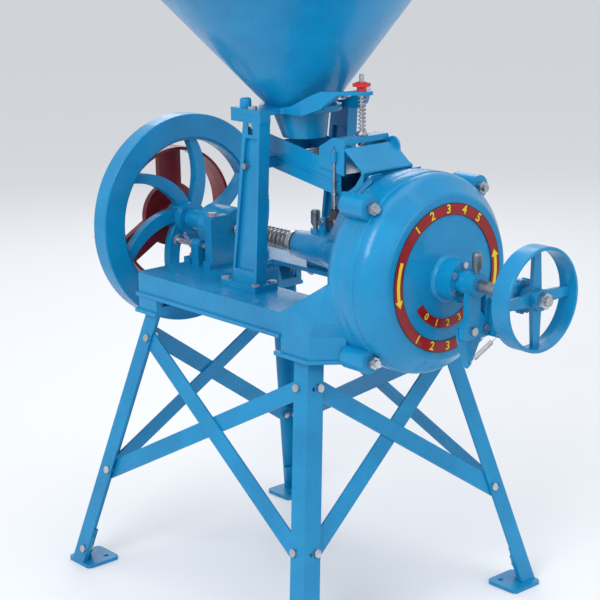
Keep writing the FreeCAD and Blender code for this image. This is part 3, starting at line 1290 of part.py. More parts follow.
def collar_and_cam():
    body = new_body("spring_collar", x="collar_front - collar_width", z="shaft_height")
    bore = "shaft_dia / 2 + rotor_fit"
    ring = turn(body, new_sketch(body, "XZ", box(0, bore, "collar_width", "collar_radius")))
    soften(body, ring, 1.5, lambda edge: is_ring(edge, value("collar_width"),
                                                 value("collar_radius")), "Chamfer")
    pocket(body, new_sketch(body, "XY", disc("collar_width / 2", 0, 3.5), lift="collar_radius + 2"),
           "collar_radius")
    spacer = new_body("bearing_spacer", x="spacer_front", z="shaft_height")
    turn(spacer, new_sketch(spacer, "XZ", box("flywheel_hub_front - spacer_front + free_gap", bore, 0,
                                              "spacer_radius")))
    cam = new_body("shaker_cam", x="shaker_pin - cam_width / 2", z="shaft_height")
    extrude(cam, new_sketch(cam, "YZ", disc(0, "cam_throw", "cam_radius"), disc(0, 0, bore)),
            "cam_width")


def coil(label, start, direction, radius, wire, pitch, length):
    """An open coil of round wire along a line, its end turns ground into flat seats."""
    mean = radius - wire / 2
    turns = (length - wire) / pitch
    helix = Part.makeHelix(pitch, turns * pitch, mean)
    profile = Part.Wire(Part.makeCircle(wire / 2, Vector(mean, 0, 0), Vector(0, 1, 0)))
    body = Part.Wire(helix.Edges).makePipeShell([profile], True, True)
    body.translate(Vector(0, 0, wire / 2))
    direction = Vector(direction).normalize()
    body.Placement = Placement(start, Rotation(Vector(0, 0, 1), direction)).multiply(body.Placement)
    return made(label, body)


def shaft_spring():
    start = Vector(value("bearing_front + free_gap"), 0, value("shaft_height"))
    length = value("collar_front - collar_width - bearing_front - 2 * free_gap")
    coil("shaft_spring", start, Vector(1, 0, 0), value("spring_radius"), value("spring_wire"),
         value("spring_pitch"), length)


def feed_worm():
    """A cast screw that carries the grain from the inlet to the plates."""
    core, outer, pitch, flight, rear, front = values(
        "worm_core", "worm_radius", "worm_pitch", "worm_flight", "worm_rear", "worm_front")
    axis = Vector(rear, 0, value("shaft_height"))
    length = front - rear
    run = length - flight
    helix = Part.makeHelix(pitch, run, core)
    section = Part.makePolygon([Vector(core - 2, 0, 0), Vector(outer, 0, flight * 0.2),
                                Vector(outer, 0, flight * 0.8), Vector(core - 2, 0, flight),
                                Vector(core - 2, 0, 0)])
    blade = Part.Wire(helix.Edges).makePipeShell([section], True, True)
    blade.Placement = Placement(axis, Rotation(Vector(0, 0, 1), Vector(1, 0, 0)))
    body = rod(axis, axis + Vector(length, 0, 0), core).fuse(blade)
    bore = rod(axis - Vector(1, 0, 0), axis + Vector(length + 1, 0, 0),
               value("shaft_dia / 2 + rotor_fit"))
    made("feed_worm", body.cut(bore))


def grinding_plate(label, back, side):
    """A ring plate with slanting grooves; side is 1 when its grooved face looks forwards."""
    thick, outer, eye, deep, wide = values("plate_thick", "plate_radius", "plate_eye",
                                           "groove_depth", "plate_groove")
    centre = Vector(back, 0, value("shaft_height"))
    face = centre + Vector(side * thick, 0, 0)
    ring = rod(centre, face, outer).cut(rod(centre - Vector(side, 0, 0),
                                            face + Vector(side, 0, 0), eye))
    grooves = []
    count = int(value("groove_count"))
    for number in range(count):
        bar = Part.makeBox(deep * 2, wide, outer - eye + 60,
                           Vector(-deep, eye * 0.45, eye - 4))
        bar.rotate(Vector(), Vector(1, 0, 0), 360 * number / count)
        bar.translate(Vector(face.x, 0, face.z))
        grooves.append(bar)
    return made(label, ring.cut(grooves))


def plates():
    """The fixed plate on the drum's wall and the runner plate on its disc."""
    grinding_plate("fixed_plate", value("drum_joint"), 1)
    runner_back = value("drum_joint + 2 * plate_thick + plate_gap")
    grinding_plate("runner_plate", runner_back, -1)
    body = new_body("disc_blank", z="shaft_height", kept=False)
    back = "drum_joint + 2 * plate_thick + plate_gap"
    bore = "shaft_nose_dia / 2 + rotor_fit"
    disc_body = turn(body, new_sketch(body, "XZ", [
        (back, bore), (back, "plate_radius"), (back + " + disc_thick", "plate_radius"),
        (back + " + disc_thick", "disc_hub_radius"), ("disc_hub_front", "disc_hub_radius"),
        ("disc_hub_front", bore)]))
    soften(body, disc_body, 6, lambda edge: is_ring(edge, value(back + " + disc_thick"),
                                                    value("disc_hub_radius")))
    stub = round_bar("disc_stub", ALONG, "shaft_step + 0.5", 0, "shaft_height",
                     "disc_hub_radius - 4", back + " - shaft_step")
    less("runner_disc", union("disc_whole", [body, stub]), [
        round_bar("disc_bore", ALONG, "shaft_step", 0, "shaft_height", bore,
                  "disc_hub_front - shaft_step + 1")])
    seat = Vector(value("disc_hub_front"), 0, value("shaft_height"))
    made("disc_nut", nut(seat, Vector(1, 0, 0), value("shaft_thread_dia"),
                         value("disc_nut_across"), value("disc_nut_thick")))


def thrust_parts():
    """The cup that the hand wheel's screw pushes, with the ball that turns with the shaft."""
    body = new_body("thrust_cup_blank", z="shaft_height", kept=False)
    seat = "shaft_front + 2 * ball_radius"
    turn(body, new_sketch(body, "XZ", [
        ("cup_rear", "shaft_thread_dia / 2 + 2"), ("cup_rear", "cup_radius"),
        ("cup_front", "cup_radius"), ("cup_front", 0), (seat + " + running_gap", 0),
        (seat + " + running_gap", "ball_radius + 1"),
        ("shaft_front + 1", "ball_radius + 1"), ("shaft_front + 1", "shaft_thread_dia / 2 + 2")]))
    ball = Part.makeSphere(value("ball_radius"), Vector(
        value("shaft_front + ball_radius + running_gap / 2"), 0, value("shaft_height")))
    group("thrust_cup_and_ball", [body, stock("thrust_ball", [ball])])


def adjusting_screw():
    """The screw behind the hand wheel."""
    body = new_body("adjusting_screw", z="shaft_height")
    radius = "screw_dia / 2"
    blank = turn(body, new_sketch(body, "XZ", [
        ("cup_front + running_gap", 0), ("cup_front + running_gap", radius),
        ("wheel_hub_rear", radius), ("wheel_hub_rear", "%s - 2" % radius),
        ("screw_front", "%s - 2" % radius), ("screw_front", 0)]))
    soften(body, blank, 1.5, lambda edge: is_ring(edge, value("screw_front"),
                                                  value("%s - 2" % radius)), "Chamfer")


def screw_housing():
    """The nut housing bolted to the cover's boss, with its hanging arm and stay."""
    body = new_body("housing_barrel", z="shaft_height", kept=False)
    turn(body, new_sketch(body, "XZ", [
        ("hub_front", "screw_dia / 2 + running_gap"), ("hub_front", "hub_radius"),
        ("hub_front + housing_flange", "hub_radius"),
        ("hub_front + housing_flange", "housing_radius"), ("housing_front", "housing_radius"),
        ("housing_front", "screw_dia / 2 + running_gap")]))
    left, right = "hanger_left", "hanger_right"
    arm = new_body("hanging_arm", kept=False)
    slab = extrude(arm, new_sketch(arm, "YZ", [
        (left + " - 15", "shaft_height"), (left + " - 15", "hanger_bolt_height + 26"),
        (left + " - 28", "hanger_bolt_height + 6"), (left + " - 28", "hanger_low"),
        (right + " + 14", "hanger_low"), (right + " + 14", "hanger_bolt_height + 12"),
        ("18", "hanger_bolt_height + 40"), ("18", "shaft_height")],
        lift="hanger_rear + hanger_thick / 2"), "hanger_thick", both=True)
    soften(arm, slab, 9, lambda edge: near(edge.BoundBox.XLength, value("hanger_thick"))
           and edge.BoundBox.ZMax < value("hanger_bolt_height + 30"))
    stay = new_body("stay", kept=False)
    extrude(stay, new_sketch(stay, "XZ", [
        ("hanger_rear + 1", "hanger_low"), ("stay_front", "hanger_low"),
        ("stay_front", "hanger_low + 10"), ("stay_front - 12", "hanger_low + 66"),
        ("hanger_rear + 1", "hanger_low + 92")], lift="-stay_across"), "stay_thick", both=True)
    web = block("stay_foot", "hanger_rear", "hanger_right", "hanger_low", "hanger_thick",
                "stay_across + stay_thick / 2 - hanger_right", 92)
    bore = round_bar("housing_bore", ALONG, "hub_front - 1", 0, "shaft_height",
                     "screw_dia / 2 + running_gap", "housing_front - hub_front + 2")
    cup_hole = round_bar("head_cup_hole", UP, "head_cup_station", 0, "shaft_height", 4, 60)
    pins = [round_bar("hanger_hole", ALONG, "hanger_rear - 20", across, "hanger_bolt_height",
                      "stand_bolt / 2 + running_gap", 60) for across in (left, right)]
    hook = round_bar("hook_hole", ACROSS, "stay_front - 7", "stay_across - 10", "hanger_low + 6",
                     2.5, 20)
    less("screw_housing", union("housing_whole", [body, arm, stay, web]),
         [bore, cup_hole, hook] + pins + housing_bolt_holes("flange", 1))
    screws = [bolt(Vector(value("hub_front + housing_flange"), spot.y, spot.z), Vector(1, 0, 0),
                   value("housing_bolt"), value("housing_flange") + 14, 13, 5.3)
              for spot in housing_bolt_spots()]
    size = value("stand_bolt")
    front = value("hanger_rear + hanger_thick")
    stop = Vector(front, value(left), value("hanger_bolt_height"))
    screws.append(bolt(stop, Vector(1, 0, 0), size, value("hanger_thick") + 2, 17, 6.4))
    pivot = Vector(front, value(right), value("hanger_bolt_height"))
    screws.append(bolt(pivot, Vector(1, 0, 0), size, value("hanger_thick + lever_thick") + 14, 17,
                       6.4))
    back = Vector(value("hanger_rear - lever_thick") - 1, pivot.y, pivot.z)
    screws.append(nut(back, Vector(-1, 0, 0), size, 17, 8))
    pin = Vector(*values("stay_front - 7", "stay_across - stay_thick / 2 - 6", "hanger_low + 6"))
    screws.append(rod(pin, pin + Vector(0, value("stay_thick") + 7, 0), 2.5))
    made("housing_bolts", Part.makeCompound(screws))


def locking_lever():
    """The pointed plate that hangs behind the arm and is drawn aside by its spring."""
    x = value("hanger_rear") - value("lever_thick") - 0.5
    left, right, tip, top = values("hanger_left", "hanger_right", "lever_tip_height",
                                   "hanger_bolt_height")
    outline = Part.makePolygon([Vector(x, left - 30, top + 8), Vector(x, left - 30, top - 16),
                                Vector(x, left - 10, tip + 4), Vector(x, left, tip - 2),
                                Vector(x, left + 10, tip + 4), Vector(x, right + 5, top - 22),
                                Vector(x, right + 12, top), Vector(x, right + 6, top + 11),
                                Vector(x, right - 8, top + 12), Vector(x, left - 30, top + 8)])
    plate = Part.Face(outline).extrude(Vector(value("lever_thick"), 0, 0))
    pivot = Vector(x, right, top)
    slot = rod(Vector(x - 1, left, top), Vector(x + 20, left, top), 10)
    eye = rod(Vector(x - 1, left + 6, tip + 10), Vector(x + 20, left + 6, tip + 10), 2.5)
    hole = rod(pivot - Vector(1, 0, 0), pivot + Vector(20, 0, 0),
               value("stand_bolt / 2 + running_gap"))
    made("locking_lever", plate.cut([slot, eye, hole]))
    start = Vector(x + value("lever_thick") + 0.8, left + 6, tip + 10)
    anchor = Vector(*values("stay_front - 7", "stay_across - 7", "hanger_low + 2.4"))
    hooked_coil("lever_spring", start, anchor, 5.5, 1.8, 3.4, 14)


def hooked_coil(label, start, end, radius, wire, pitch, hook):
    """A tension spring between two eyes: a coil with a straight wire at each end."""
    length = (end - start).Length
    mean = radius - wire / 2
    run = length - 2 * hook
    helix = Part.makeHelix(pitch, run, mean)
    helix.translate(Vector(0, 0, hook))
    profile = Part.Wire(Part.makeCircle(wire / 2, Vector(mean, 0, hook), Vector(0, 1, 0)))
    body = Part.Wire(helix.Edges).makePipeShell([profile], True, True)
    angle = 2 * math.pi * run / pitch
    first = Vector(mean, 0, hook)
    last = Vector(mean * math.cos(angle), mean * math.sin(angle), hook + run)
    ends = [rod(Vector(), Vector(0, 0, hook), wire / 2), rod(Vector(0, 0, hook), first, wire / 2),
            rod(last, Vector(0, 0, last.z), wire / 2),
            rod(Vector(0, 0, last.z), Vector(0, 0, length), wire / 2),
            Part.makeSphere(wire / 2, Vector(0, 0, hook)),
            Part.makeSphere(wire / 2, Vector(0, 0, last.z))]
    body = body.fuse(ends)
    body.Placement = Placement(start, Rotation(Vector(0, 0, 1), end - start))
    made(label, body)


def hand_wheel():
    body = new_body("wheel_rim_blank", x="wheel_rear", z="shaft_height", kept=False)
    rim = turn(body, new_sketch(body, "XZ", [
        (0, "wheel_radius - wheel_rim"), (0, "wheel_radius"), ("wheel_width", "wheel_radius"),
        ("wheel_width", "wheel_radius - wheel_rim"),
        ("wheel_width / 2", "wheel_radius - wheel_rim - 2")]))
    soften(body, rim, 2.5, lambda edge: any(is_ring(edge, x, value("wheel_radius"))
                                            for x in (0, value("wheel_width"))))
    spokes = new_body("wheel_spokes", x="wheel_rear + wheel_width / 2", z="shaft_height", kept=False)
    spoke = extrude(spokes, new_sketch(spokes, "YZ", [
        ("-wheel_spoke * 0.62", "wheel_hub_radius - 6"), ("wheel_spoke * 0.62", "wheel_hub_radius - 6"),
        ("wheel_spoke * 0.42", "wheel_radius - wheel_rim"),
        ("-wheel_spoke * 0.42", "wheel_radius - wheel_rim")]), "wheel_spoke_thick", both=True)
    polar(spokes, [spoke], "X", 4)
    hub = round_bar("wheel_hub", ALONG, "wheel_hub_rear", 0, "shaft_height", "wheel_hub_radius",
                    "wheel_hub_front - wheel_hub_rear")
    less("hand_wheel", union("wheel_whole", [body, spokes, hub]), [
        round_bar("wheel_bore", ALONG, "wheel_hub_rear - 1", 0, "shaft_height",
                  "screw_dia / 2 - 2 + rotor_fit", "wheel_hub_front - wheel_hub_rear + 2")])
    seat = Vector(value("wheel_hub_front"), 0, value("shaft_height"))
    made("hand_wheel_nut", nut(seat, Vector(1, 0, 0), value("screw_dia") - 4,
                               value("wheel_nut_across"), 12))
    body = new_body("ratchet_blank", x="wheel_hub_rear - 14", z="shaft_height", kept=False)
    extrude(body, new_sketch(body, "YZ", disc(0, 0, "ratchet_radius"),
                             disc(0, 0, "screw_dia / 2 + rotor_fit")), 14)
    notches = []
    radius, height = values("ratchet_radius", "shaft_height")
    for number in range(12):
        angle = math.radians(30 * number)
        centre = Vector(value("wheel_hub_rear") - 20, (radius + 2) * math.cos(angle),
                        height + (radius + 2) * math.sin(angle))
        notches.append(rod(centre, centre + Vector(26, 0, 0), 6))
    cut("notched_wheel", body, notches)


def posts():
    """Two ribbed posts that carry the hopper's yoke and the feed shoe's pivot."""
    outline = [("post_rear_low", "bed_top"), ("post_front_low", "bed_top"),
               ("post_front_high", "post_top"), ("post_rear_high", "post_top")]
    low, high = "bed_top + 3 * post_foot_thick", "post_top - 3 * post_head_thick"
    inset = [("post_rear_low + post_rib + 4", low), ("post_front_low - post_rib + 3", low),
             ("post_front_high - post_rib - 3", high), ("post_rear_high + post_rib - 4", high)]
    for name, side in (("near", "-1"), ("far", "1")):
        middle = "%s * (post_inner + post_thick / 2)" % side
        body = new_body("post_blank_" + name, y=middle, kept=False)
        extrude(body, new_sketch(body, "XZ", outline), "post_thick", both=True)
        for sign in (-1, 1):
            pocket(body, new_sketch(body, "XZ", inset,
                                    lift="%d * (post_thick / 2 - post_recess)" % sign),
                   "post_recess", back=sign > 0)
        foot = block("post_foot", "post_rear_low - post_foot_out",
                     middle + " - post_thick / 2 - post_foot_out", "bed_top",
                     "post_front_low - post_rear_low + 2 * post_foot_out",
                     "post_thick + 2 * post_foot_out", "post_foot_thick")
        head = block("post_head", "post_rear_high - post_head_out", middle + " - post_thick / 2",
                     "post_top - post_head_thick",
                     "post_front_high - post_rear_high + post_head_out", "post_thick",
                     "post_head_thick")
        drills = [round_bar("post_pivot_hole", ACROSS, "pivot_station", middle + " - post_thick",
                            "pivot_height", "pivot_dia / 2", "2 * post_thick"),
                  round_bar("post_head_hole", UP, "yoke_bolt_station", side + " * yoke_bolt_out",
                            "post_top - 2 * post_head_thick", "stand_bolt / 2 + free_gap",
                            "3 * post_head_thick"),
                  round_bar("post_nut_space", UP, "yoke_bolt_station", side + " * yoke_bolt_out",
                            "post_top - post_head_thick - 26", "head_across * 0.65", 26)]
        for x, y in post_foot_spots(middle):
            drills.append(round_bar("post_foot_hole", UP, x, y, "bed_top - 5",
                                    "stand_bolt / 2 + free_gap", "2 * post_foot_thick"))
        less("post_" + name, union("post_whole", [body, foot, head]), drills)


def post_foot_spots(middle):
    return [(x, "%s + %s * (post_thick / 2 + post_foot_out / 2)" % (middle, across))
            for x in ("post_rear_low - 0.6 * post_foot_out", "post_front_low + 0.6 * post_foot_out")
            for across in ("-1", "1")]


def hopper_cone(name, wall="0"):
    """The solid inside the hopper's outer face, or less than that by a wall."""
    body = new_body(name, kept=False)
    loft(body, [
        new_sketch(body, "XY", disc("hopper_low_x", 0, "hopper_low_radius - " + wall),
                   lift="hopper_low"),
        new_sketch(body, "XY", disc("hopper_top_x", 0, "hopper_top_radius - " + wall),
                   lift="hopper_top")])
    return body


def spout_cone(name, wall="0"):
    body = new_body(name, kept=False)
    loft(body, [
        new_sketch(body, "XY", disc("spout_low_x", 0, "spout_low_radius - " + wall),
                   lift="spout_low"),
        new_sketch(body, "XY", disc("hopper_low_x", 0, "hopper_low_radius - " + wall),
                   lift="hopper_low")])
    return body


def hopper_and_yoke():
    outer = hopper_cone("hopper_outer")
    sheet_metal = doc.addObject("Part::Cut", "hopper_sheet")
    sheet_metal.Base = outer
    sheet_metal.Tool = hopper_cone("hopper_inner", "sheet_wall")
    rim = new_body("hopper_rim", x="hopper_top_x", z="hopper_top", kept=False)
    turn(rim, new_sketch(rim, "XZ", disc("hopper_top_radius", 0, "rim_wire")), "V_Axis")
    keep(union("hopper", [sheet_metal, rim]), "hopper")
    spout_outer = spout_cone("spout_outer")
    less("hopper_spout", spout_outer, [spout_cone("spout_inner", "sheet_wall")])

    ring = round_bar("yoke_ring_blank", UP, "hopper_low_x", 0, "post_top",
                     "hopper_low_radius + yoke_thick + yoke_ring", "yoke_thick")
    bars = block("yoke_bars", "post_rear_high", "-(post_inner + post_thick)", "post_top",
                 "post_front_high - post_rear_high", "2 * (post_inner + post_thick)", "yoke_thick")
    side = new_body("yoke_arm_side", kept=False)
    extrude(side, new_sketch(side, "XZ", [
        ("hopper_low_x", "post_top"), ("hopper_low_x + 100", "post_top + 2"),
        ("rod_station - 56", "post_top + 18"), ("rod_station - 24", "plate_height"),
        ("rod_station", "plate_height"), ("rod_station", "plate_height + plate_high"),
        ("rod_station - 54", "plate_height + plate_high"),
        ("rod_station - 79", "plate_height - 3"), ("rod_station - 106", "post_top + 32"),
        ("rod_station - 137", "post_top + 19"), ("hopper_low_x + 29", "post_top + yoke_thick"),
        ("hopper_low_x", "post_top + yoke_thick")]), "3 * yoke_arm_half", both=True)
    plan = new_body("yoke_arm_plan", kept=False)
    loops = []
    for sign, bend, back in (("", "-yoke_arm_bend", "yoke_arm_bend"),
                             ("-", "yoke_arm_bend", "-yoke_arm_bend")):
        y = lambda size: "%s(%s)" % (sign, size)
        loops.append([
            ("hopper_low_x", y("yoke_arm_half")), ("hopper_low_x + 95", y("yoke_arm_half"), bend),
            ("rod_station", y("oval_across")), ("rod_station", y("oval_across - yoke_arm_thick")),
            ("rod_station - 8", y("oval_across - yoke_arm_thick"), back),
            ("hopper_low_x + 92", y("yoke_arm_half - yoke_arm_thick")),
            ("hopper_low_x", y("yoke_arm_half - yoke_arm_thick"))])
    extrude(plan, new_sketch(plan, "XY", *loops, lift="post_top"), "plate_height - post_top + 20")
    arms = doc.addObject("Part::Common", "yoke_arms")
    arms.Base, arms.Tool = side, plan
    plate = new_body("yoke_plate", kept=False)
    extrude(plate, new_sketch(plate, "XY", [
        ("rod_station - oval_along", "-oval_across"), ("rod_station + 2", "-oval_across"),
        ("rod_station + oval_across", "-oval_across / 2"),
        ("rod_station + oval_across", "oval_across / 2"), ("rod_station + 2", "oval_across"),
        ("rod_station - oval_along", "oval_across")], lift="plate_height"), "plate_high")
    soften(plate, plate.Tip, "oval_across / 3", lambda edge: is_upright(edge)
           and edge.CenterOfMass.x > value("rod_station"))
    pieces = [ring, bars, arms, plate]
    for name, y in (("near", "-(post_inner + post_thick / 2)"), ("far", "post_inner + post_thick / 2")):
        pieces.append(block("yoke_ear", "post_rear_high - post_head_out", y + " - post_thick / 2",
                            "post_top", "post_front_high - post_rear_high + post_head_out",
                            "post_thick", "yoke_thick"))
        boss = new_body("yoke_boss_" + name, x="boss_station", y=y, z="post_top", kept=False)
        pin = extrude(boss, new_sketch(boss, "XY", disc(0, 0, "boss_radius")),
                      "yoke_thick + boss_high")
        soften(boss, pin, "boss_radius / 2", lambda edge: near(
            edge.CenterOfMass.z, value("yoke_thick + boss_high")))
        pieces.append(boss)
    less("hopper_yoke", union("yoke_whole", pieces), [
        outer, spout_outer,
        round_bar("yoke_rod_hole", UP, "rod_station", 0, "plate_height - 5",
                  "feed_rod_dia / 2 + running_gap", "3 * plate_high")]
        + [round_bar("yoke_bolt_hole", UP, "yoke_bolt_station", "%s * yoke_bolt_out" % across,
                     "post_top - 5", "stand_bolt / 2 + free_gap", 40) for across in ("-1", "1")])


def along_shoe(rear, front, station):
    """Height of a straight line over the shoe at a station."""
    return "(%s) + ((%s) - (%s)) * ((%s) - shoe_rear) / (shoe_front - shoe_rear)" % (
        rear, front, rear, station)


def feed_shoe():
    """The shaking trough under the spout: two sides, a floor with a lip and a low rear wall."""
    sides = []
    for side in ("-shoe_half", "shoe_half - shoe_wall"):
        body = new_body("shoe_side", y=side, kept=False)
        extrude(body, new_sketch(body, "XZ", [
            ("shoe_rear", "shoe_rear_low"), ("shoe_front", "shoe_front_low"),
            ("shoe_front", "shoe_front_high"), ("shoe_rear", "shoe_rear_high")]),
            "shoe_wall", back=True)
        sides.append(body)
    floor = new_body("shoe_floor", kept=False)
    lip = "shoe_front + shoe_lip"
    low = along_shoe("shoe_rear_low", "shoe_front_low", lip)
    extrude(floor, new_sketch(floor, "XZ", [
        ("shoe_rear", "shoe_rear_low"), (lip, low), (lip, low + " + shoe_wall"),
        ("shoe_rear", "shoe_rear_low + shoe_wall")]), "2 * shoe_half", both=True)
    rear = block("shoe_rear_wall", "shoe_rear", "-shoe_half", "shoe_rear_low", "shoe_wall",
                 "2 * shoe_half", "spout_low - 12 - shoe_rear_low")
    pad = new_body("shoe_bead", kept=False)
    for y in ("-shoe_half - 2", "shoe_half"):
        extrude(pad, new_sketch(pad, "XZ", [
            ("shoe_rear", "shoe_rear_low + 27"), ("shoe_front", "shoe_front_low + 25"),
            ("shoe_front", "shoe_front_low + 31"), ("shoe_rear", "shoe_rear_low + 33")],
            lift="-(%s)" % y), 2, back=True)
    hubs = [round_bar("shoe_hub", ACROSS, "pivot_station", y, "pivot_height",
                      "pivot_dia / 2 + 6", "post_inner - shoe_half - 2")
            for y in ("2 - post_inner", "shoe_half")]
    less("feed_shoe", union("shoe_whole", sides + [floor, rear, pad] + hubs), [
        round_bar("shoe_pivot_bore", ACROSS, "pivot_station", "-post_inner", "pivot_height",
                  "pivot_dia / 2 + running_gap", "2 * post_inner")]
        )
    riddle = new_body("riddle_plate")
    drop = lambda station: along_shoe("shoe_rear_high", "shoe_front_high", station) + " - riddle_drop"
    start, end = "shoe_rear + 52", "shoe_front - 14"
    extrude(riddle, new_sketch(riddle, "XZ", [
        (start, drop(start)), (end, drop(end)), (end, drop(end) + " + riddle_thick"),
        (start, drop(start) + " + riddle_thick")]), "2 * (shoe_half - shoe_wall)", both=True)
    slots = []
    for column in range(7):
        x = "%s + 10 + %d * 15" % (start, column)
        for y in ("-riddle_slot - 14", "-riddle_slot / 2", "14"):
            slots.append(box(x, y, x + " + riddle_slot_width", "%s + riddle_slot" % y))
    pocket(riddle, new_sketch(riddle, "XY", *slots, lift="shoe_rear_high"), "riddle_drop * 3")
    made("shoe_pivot_pin", rod(
        Vector(value("pivot_station"), -value("post_inner + post_thick + 5"), value("pivot_height")),
        Vector(value("pivot_station"), value("post_inner + post_thick + 5"), value("pivot_height")),
        value("pivot_dia / 2")))


def shoe_end_bracket():
    """Cheeks on the shoe's sides, the crossbar between them and the shaker rod's lug."""
    cheeks = []
    for y in ("-shoe_half - cheek_thick", "shoe_half"):
        body = new_body("bracket_cheek", y=y, kept=False)
        plate = extrude(body, new_sketch(body, "XZ", [
            ("rod_station - 66", "shoe_front_high - 8"), ("rod_station + 13", "shoe_front_high - 22"),
            ("rod_station + 16", "cross_height + cross_thick"),
            ("rod_station - 22", "cross_height + cross_thick"),
            ("rod_station - 66", "shoe_front_high + 34")]), "cheek_thick", back=True)
        soften(body, plate, 8, lambda edge: near(edge.BoundBox.YLength, value("cheek_thick"))
               and near(edge.BoundBox.ZLength, 0) and edge.CenterOfMass.z > value("shoe_front_high"))
        cheeks.append(body)
    bar = block("crossbar", "rod_station - 17", "-shoe_half - cheek_thick / 2", "cross_height",
                33, "2 * shoe_half + cheek_thick", "cross_thick")
    at = ("shaker_rod_station", "-shaker_rod_offset")
    lug = round_bar("rod_lug", UP, *at, "shoe_front_high + 6", "shaker_rod_dia / 2 + 5", 22)
    less("shoe_end_bracket", union("bracket_whole", cheeks + [bar, lug]), [
        round_bar("lug_bore", UP, *at, "shoe_front_high - 40", "shaker_rod_dia / 2 + rotor_fit", 80),
        block("crossbar_slot", "rod_station - feed_rod_dia / 2 - 3", "-feed_rod_dia / 2 - 1",
              "cross_height - 1", "feed_rod_dia + 6", "feed_rod_dia + 2", "cross_thick + 2")])
    x, y = value(at[0]), value(at[1])
    low, eye, high = values("shaker_eye_height - 20", "shaker_eye_height", "shoe_front_high + 31")
    radius = value("shaker_rod_dia / 2")
    rod_body = rod(Vector(x, y, low), Vector(x, y, high), radius)
    for bottom, top, size in ((eye + 42, eye + 46, radius + 3.4),):
        rod_body = rod_body.fuse(rod(Vector(x, y, bottom), Vector(x, y, top), size))
    made("shaker_rod", rod_body)
    coil("shaker_spring", Vector(x, y, eye + 10.3), Vector(0, 0, 1),
         value("shaker_spring_radius"), value("shaker_wire"), 4, 31.4)


def feed_rod():
    """The threaded rod that lifts the shoe's end, its spring and its knob."""
    body = new_body("feed_rod", x="rod_station")
    radius = "feed_rod_dia / 2"
    under, top = "cross_height - free_gap - 0.2", "cross_height + cross_thick + free_gap + 0.2"
    rod_shape = turn(body, new_sketch(body, "XZ", [
        (0, under + " - 18"), (radius, under + " - 18"), (radius, under + " - 8"),
        (radius + " + 4", under + " - 8"), (radius + " + 4", under), (radius, under),
        (radius, top), ("feed_dome", top), ("feed_dome", top + " + 3"),
        ("feed_dome - 3", top + " + 8"), (radius, top + " + 9"), (radius, "feed_rod_top"),
        (0, "feed_rod_top")]), "V_Axis")
    soften(body, rod_shape, 1, lambda edge: near(edge.CenterOfMass.z, value("feed_rod_top"))
           and isinstance(edge.Curve, Part.Circle), "Chamfer")
    start = value(top + " + 9.2")
    coil("feed_spring", Vector(value("rod_station"), 0, start), Vector(0, 0, 1),
         value("feed_spring_radius"), value("feed_wire"), value("feed_spring_pitch"),
         value("plate_height") - start - 0.2)
    knob = new_body("feed_knob_core", x="rod_station", z="plate_height + plate_high + running_gap",
                    kept=False)
    star = turn(knob, new_sketch(knob, "XZ", [
        ("feed_rod_dia / 2 + running_gap", 0), ("knob_radius * 0.55", 0),
        ("knob_radius * 0.5", "knob_high * 0.4"), ("knob_radius * 0.8", "knob_high * 0.5"),
        ("knob_radius * 0.8", "knob_high * 0.86"), ("knob_radius * 0.5", "knob_high"),
        ("feed_rod_dia / 2 + running_gap", "knob_high")]), "V_Axis")
    lobes = new_body("feed_knob_lobe", x="rod_station", z="plate_height + plate_high + running_gap",
                     kept=False)
    lobe = extrude(lobes, new_sketch(lobes, "XY", disc("knob_radius * 0.74", 0, "knob_radius * 0.26"),
                                     lift="knob_high * 0.5"), "knob_high * 0.36")
    polar(lobes, [lobe], "Z", 6)
    keep(union("feed_knob", [knob, lobes]), "feed_knob")


def shaker_lever():
    """The rocker on the neck: a follower pin over the cam and an arm to the shaker rod."""
    pivot = Vector(value("shaker_pivot"), 0, value("shaker_pivot_height"))
    half = 5.5
    hub = rod(pivot - Vector(0, half, 0), pivot + Vector(0, half, 0), 9)
    pin_x = value("shaker_pin")
    arm = Part.Face(Part.makePolygon([
        Vector(pivot.x - 2, -half, pivot.z + 8.7), Vector(pin_x + 9, -half, pivot.z + 1),
        Vector(pin_x + 9, -half, pivot.z - 11), Vector(pivot.x - 2, -half, pivot.z - 8.7),
        Vector(pivot.x - 2, -half, pivot.z + 8.7)])).extrude(Vector(0, 2 * half, 0))
    foot = rod(Vector(pin_x, 0, value("shaft_height + cam_throw + cam_radius + running_gap")),
               Vector(pin_x, 0, pivot.z - 5), 4)
    elbow = Vector(pin_x + 2, 0, pivot.z - 5)
    eye = Vector(value("shaker_rod_station"), -value("shaker_rod_offset"),
                 value("shaker_eye_height"))
    reach = rod(elbow, eye, 6)
    high = Vector(0, 0, 10)
    ends = [eye + Vector(value(run), 0, 0) for run in ("-eye_slot_rear", "eye_slot_front")]
    slot = value("shaker_rod_dia / 2 + eye_gap")
    rings = [rod(end - high, end + high, slot + 4.5) for end in ends]
    cheek = Part.makeBox(ends[1].x - ends[0].x, 2 * slot + 9, 2 * high.z,
                         ends[0] - high - Vector(0, slot + 4.5, 0))
    whole = hub.fuse([arm, foot, reach, cheek] + rings)
    bore = rod(pivot - Vector(0, 20, 0), pivot + Vector(0, 20, 0), 4 + value("running_gap"))
    bores = [rod(end - 2 * high, end + 2 * high, slot) for end in ends]
    window = Part.makeBox(ends[1].x - ends[0].x, 2 * slot, 4 * high.z,
                          ends[0] - 2 * high - Vector(0, slot, 0))
    made("shaker_lever", whole.cut([bore, window] + bores))


def seat_height(x):
    return ("saddle_rear_height + (%s - saddle_rear) * (saddle_front_height - saddle_rear_height)"
            " / (saddle_front - saddle_rear)" % x)


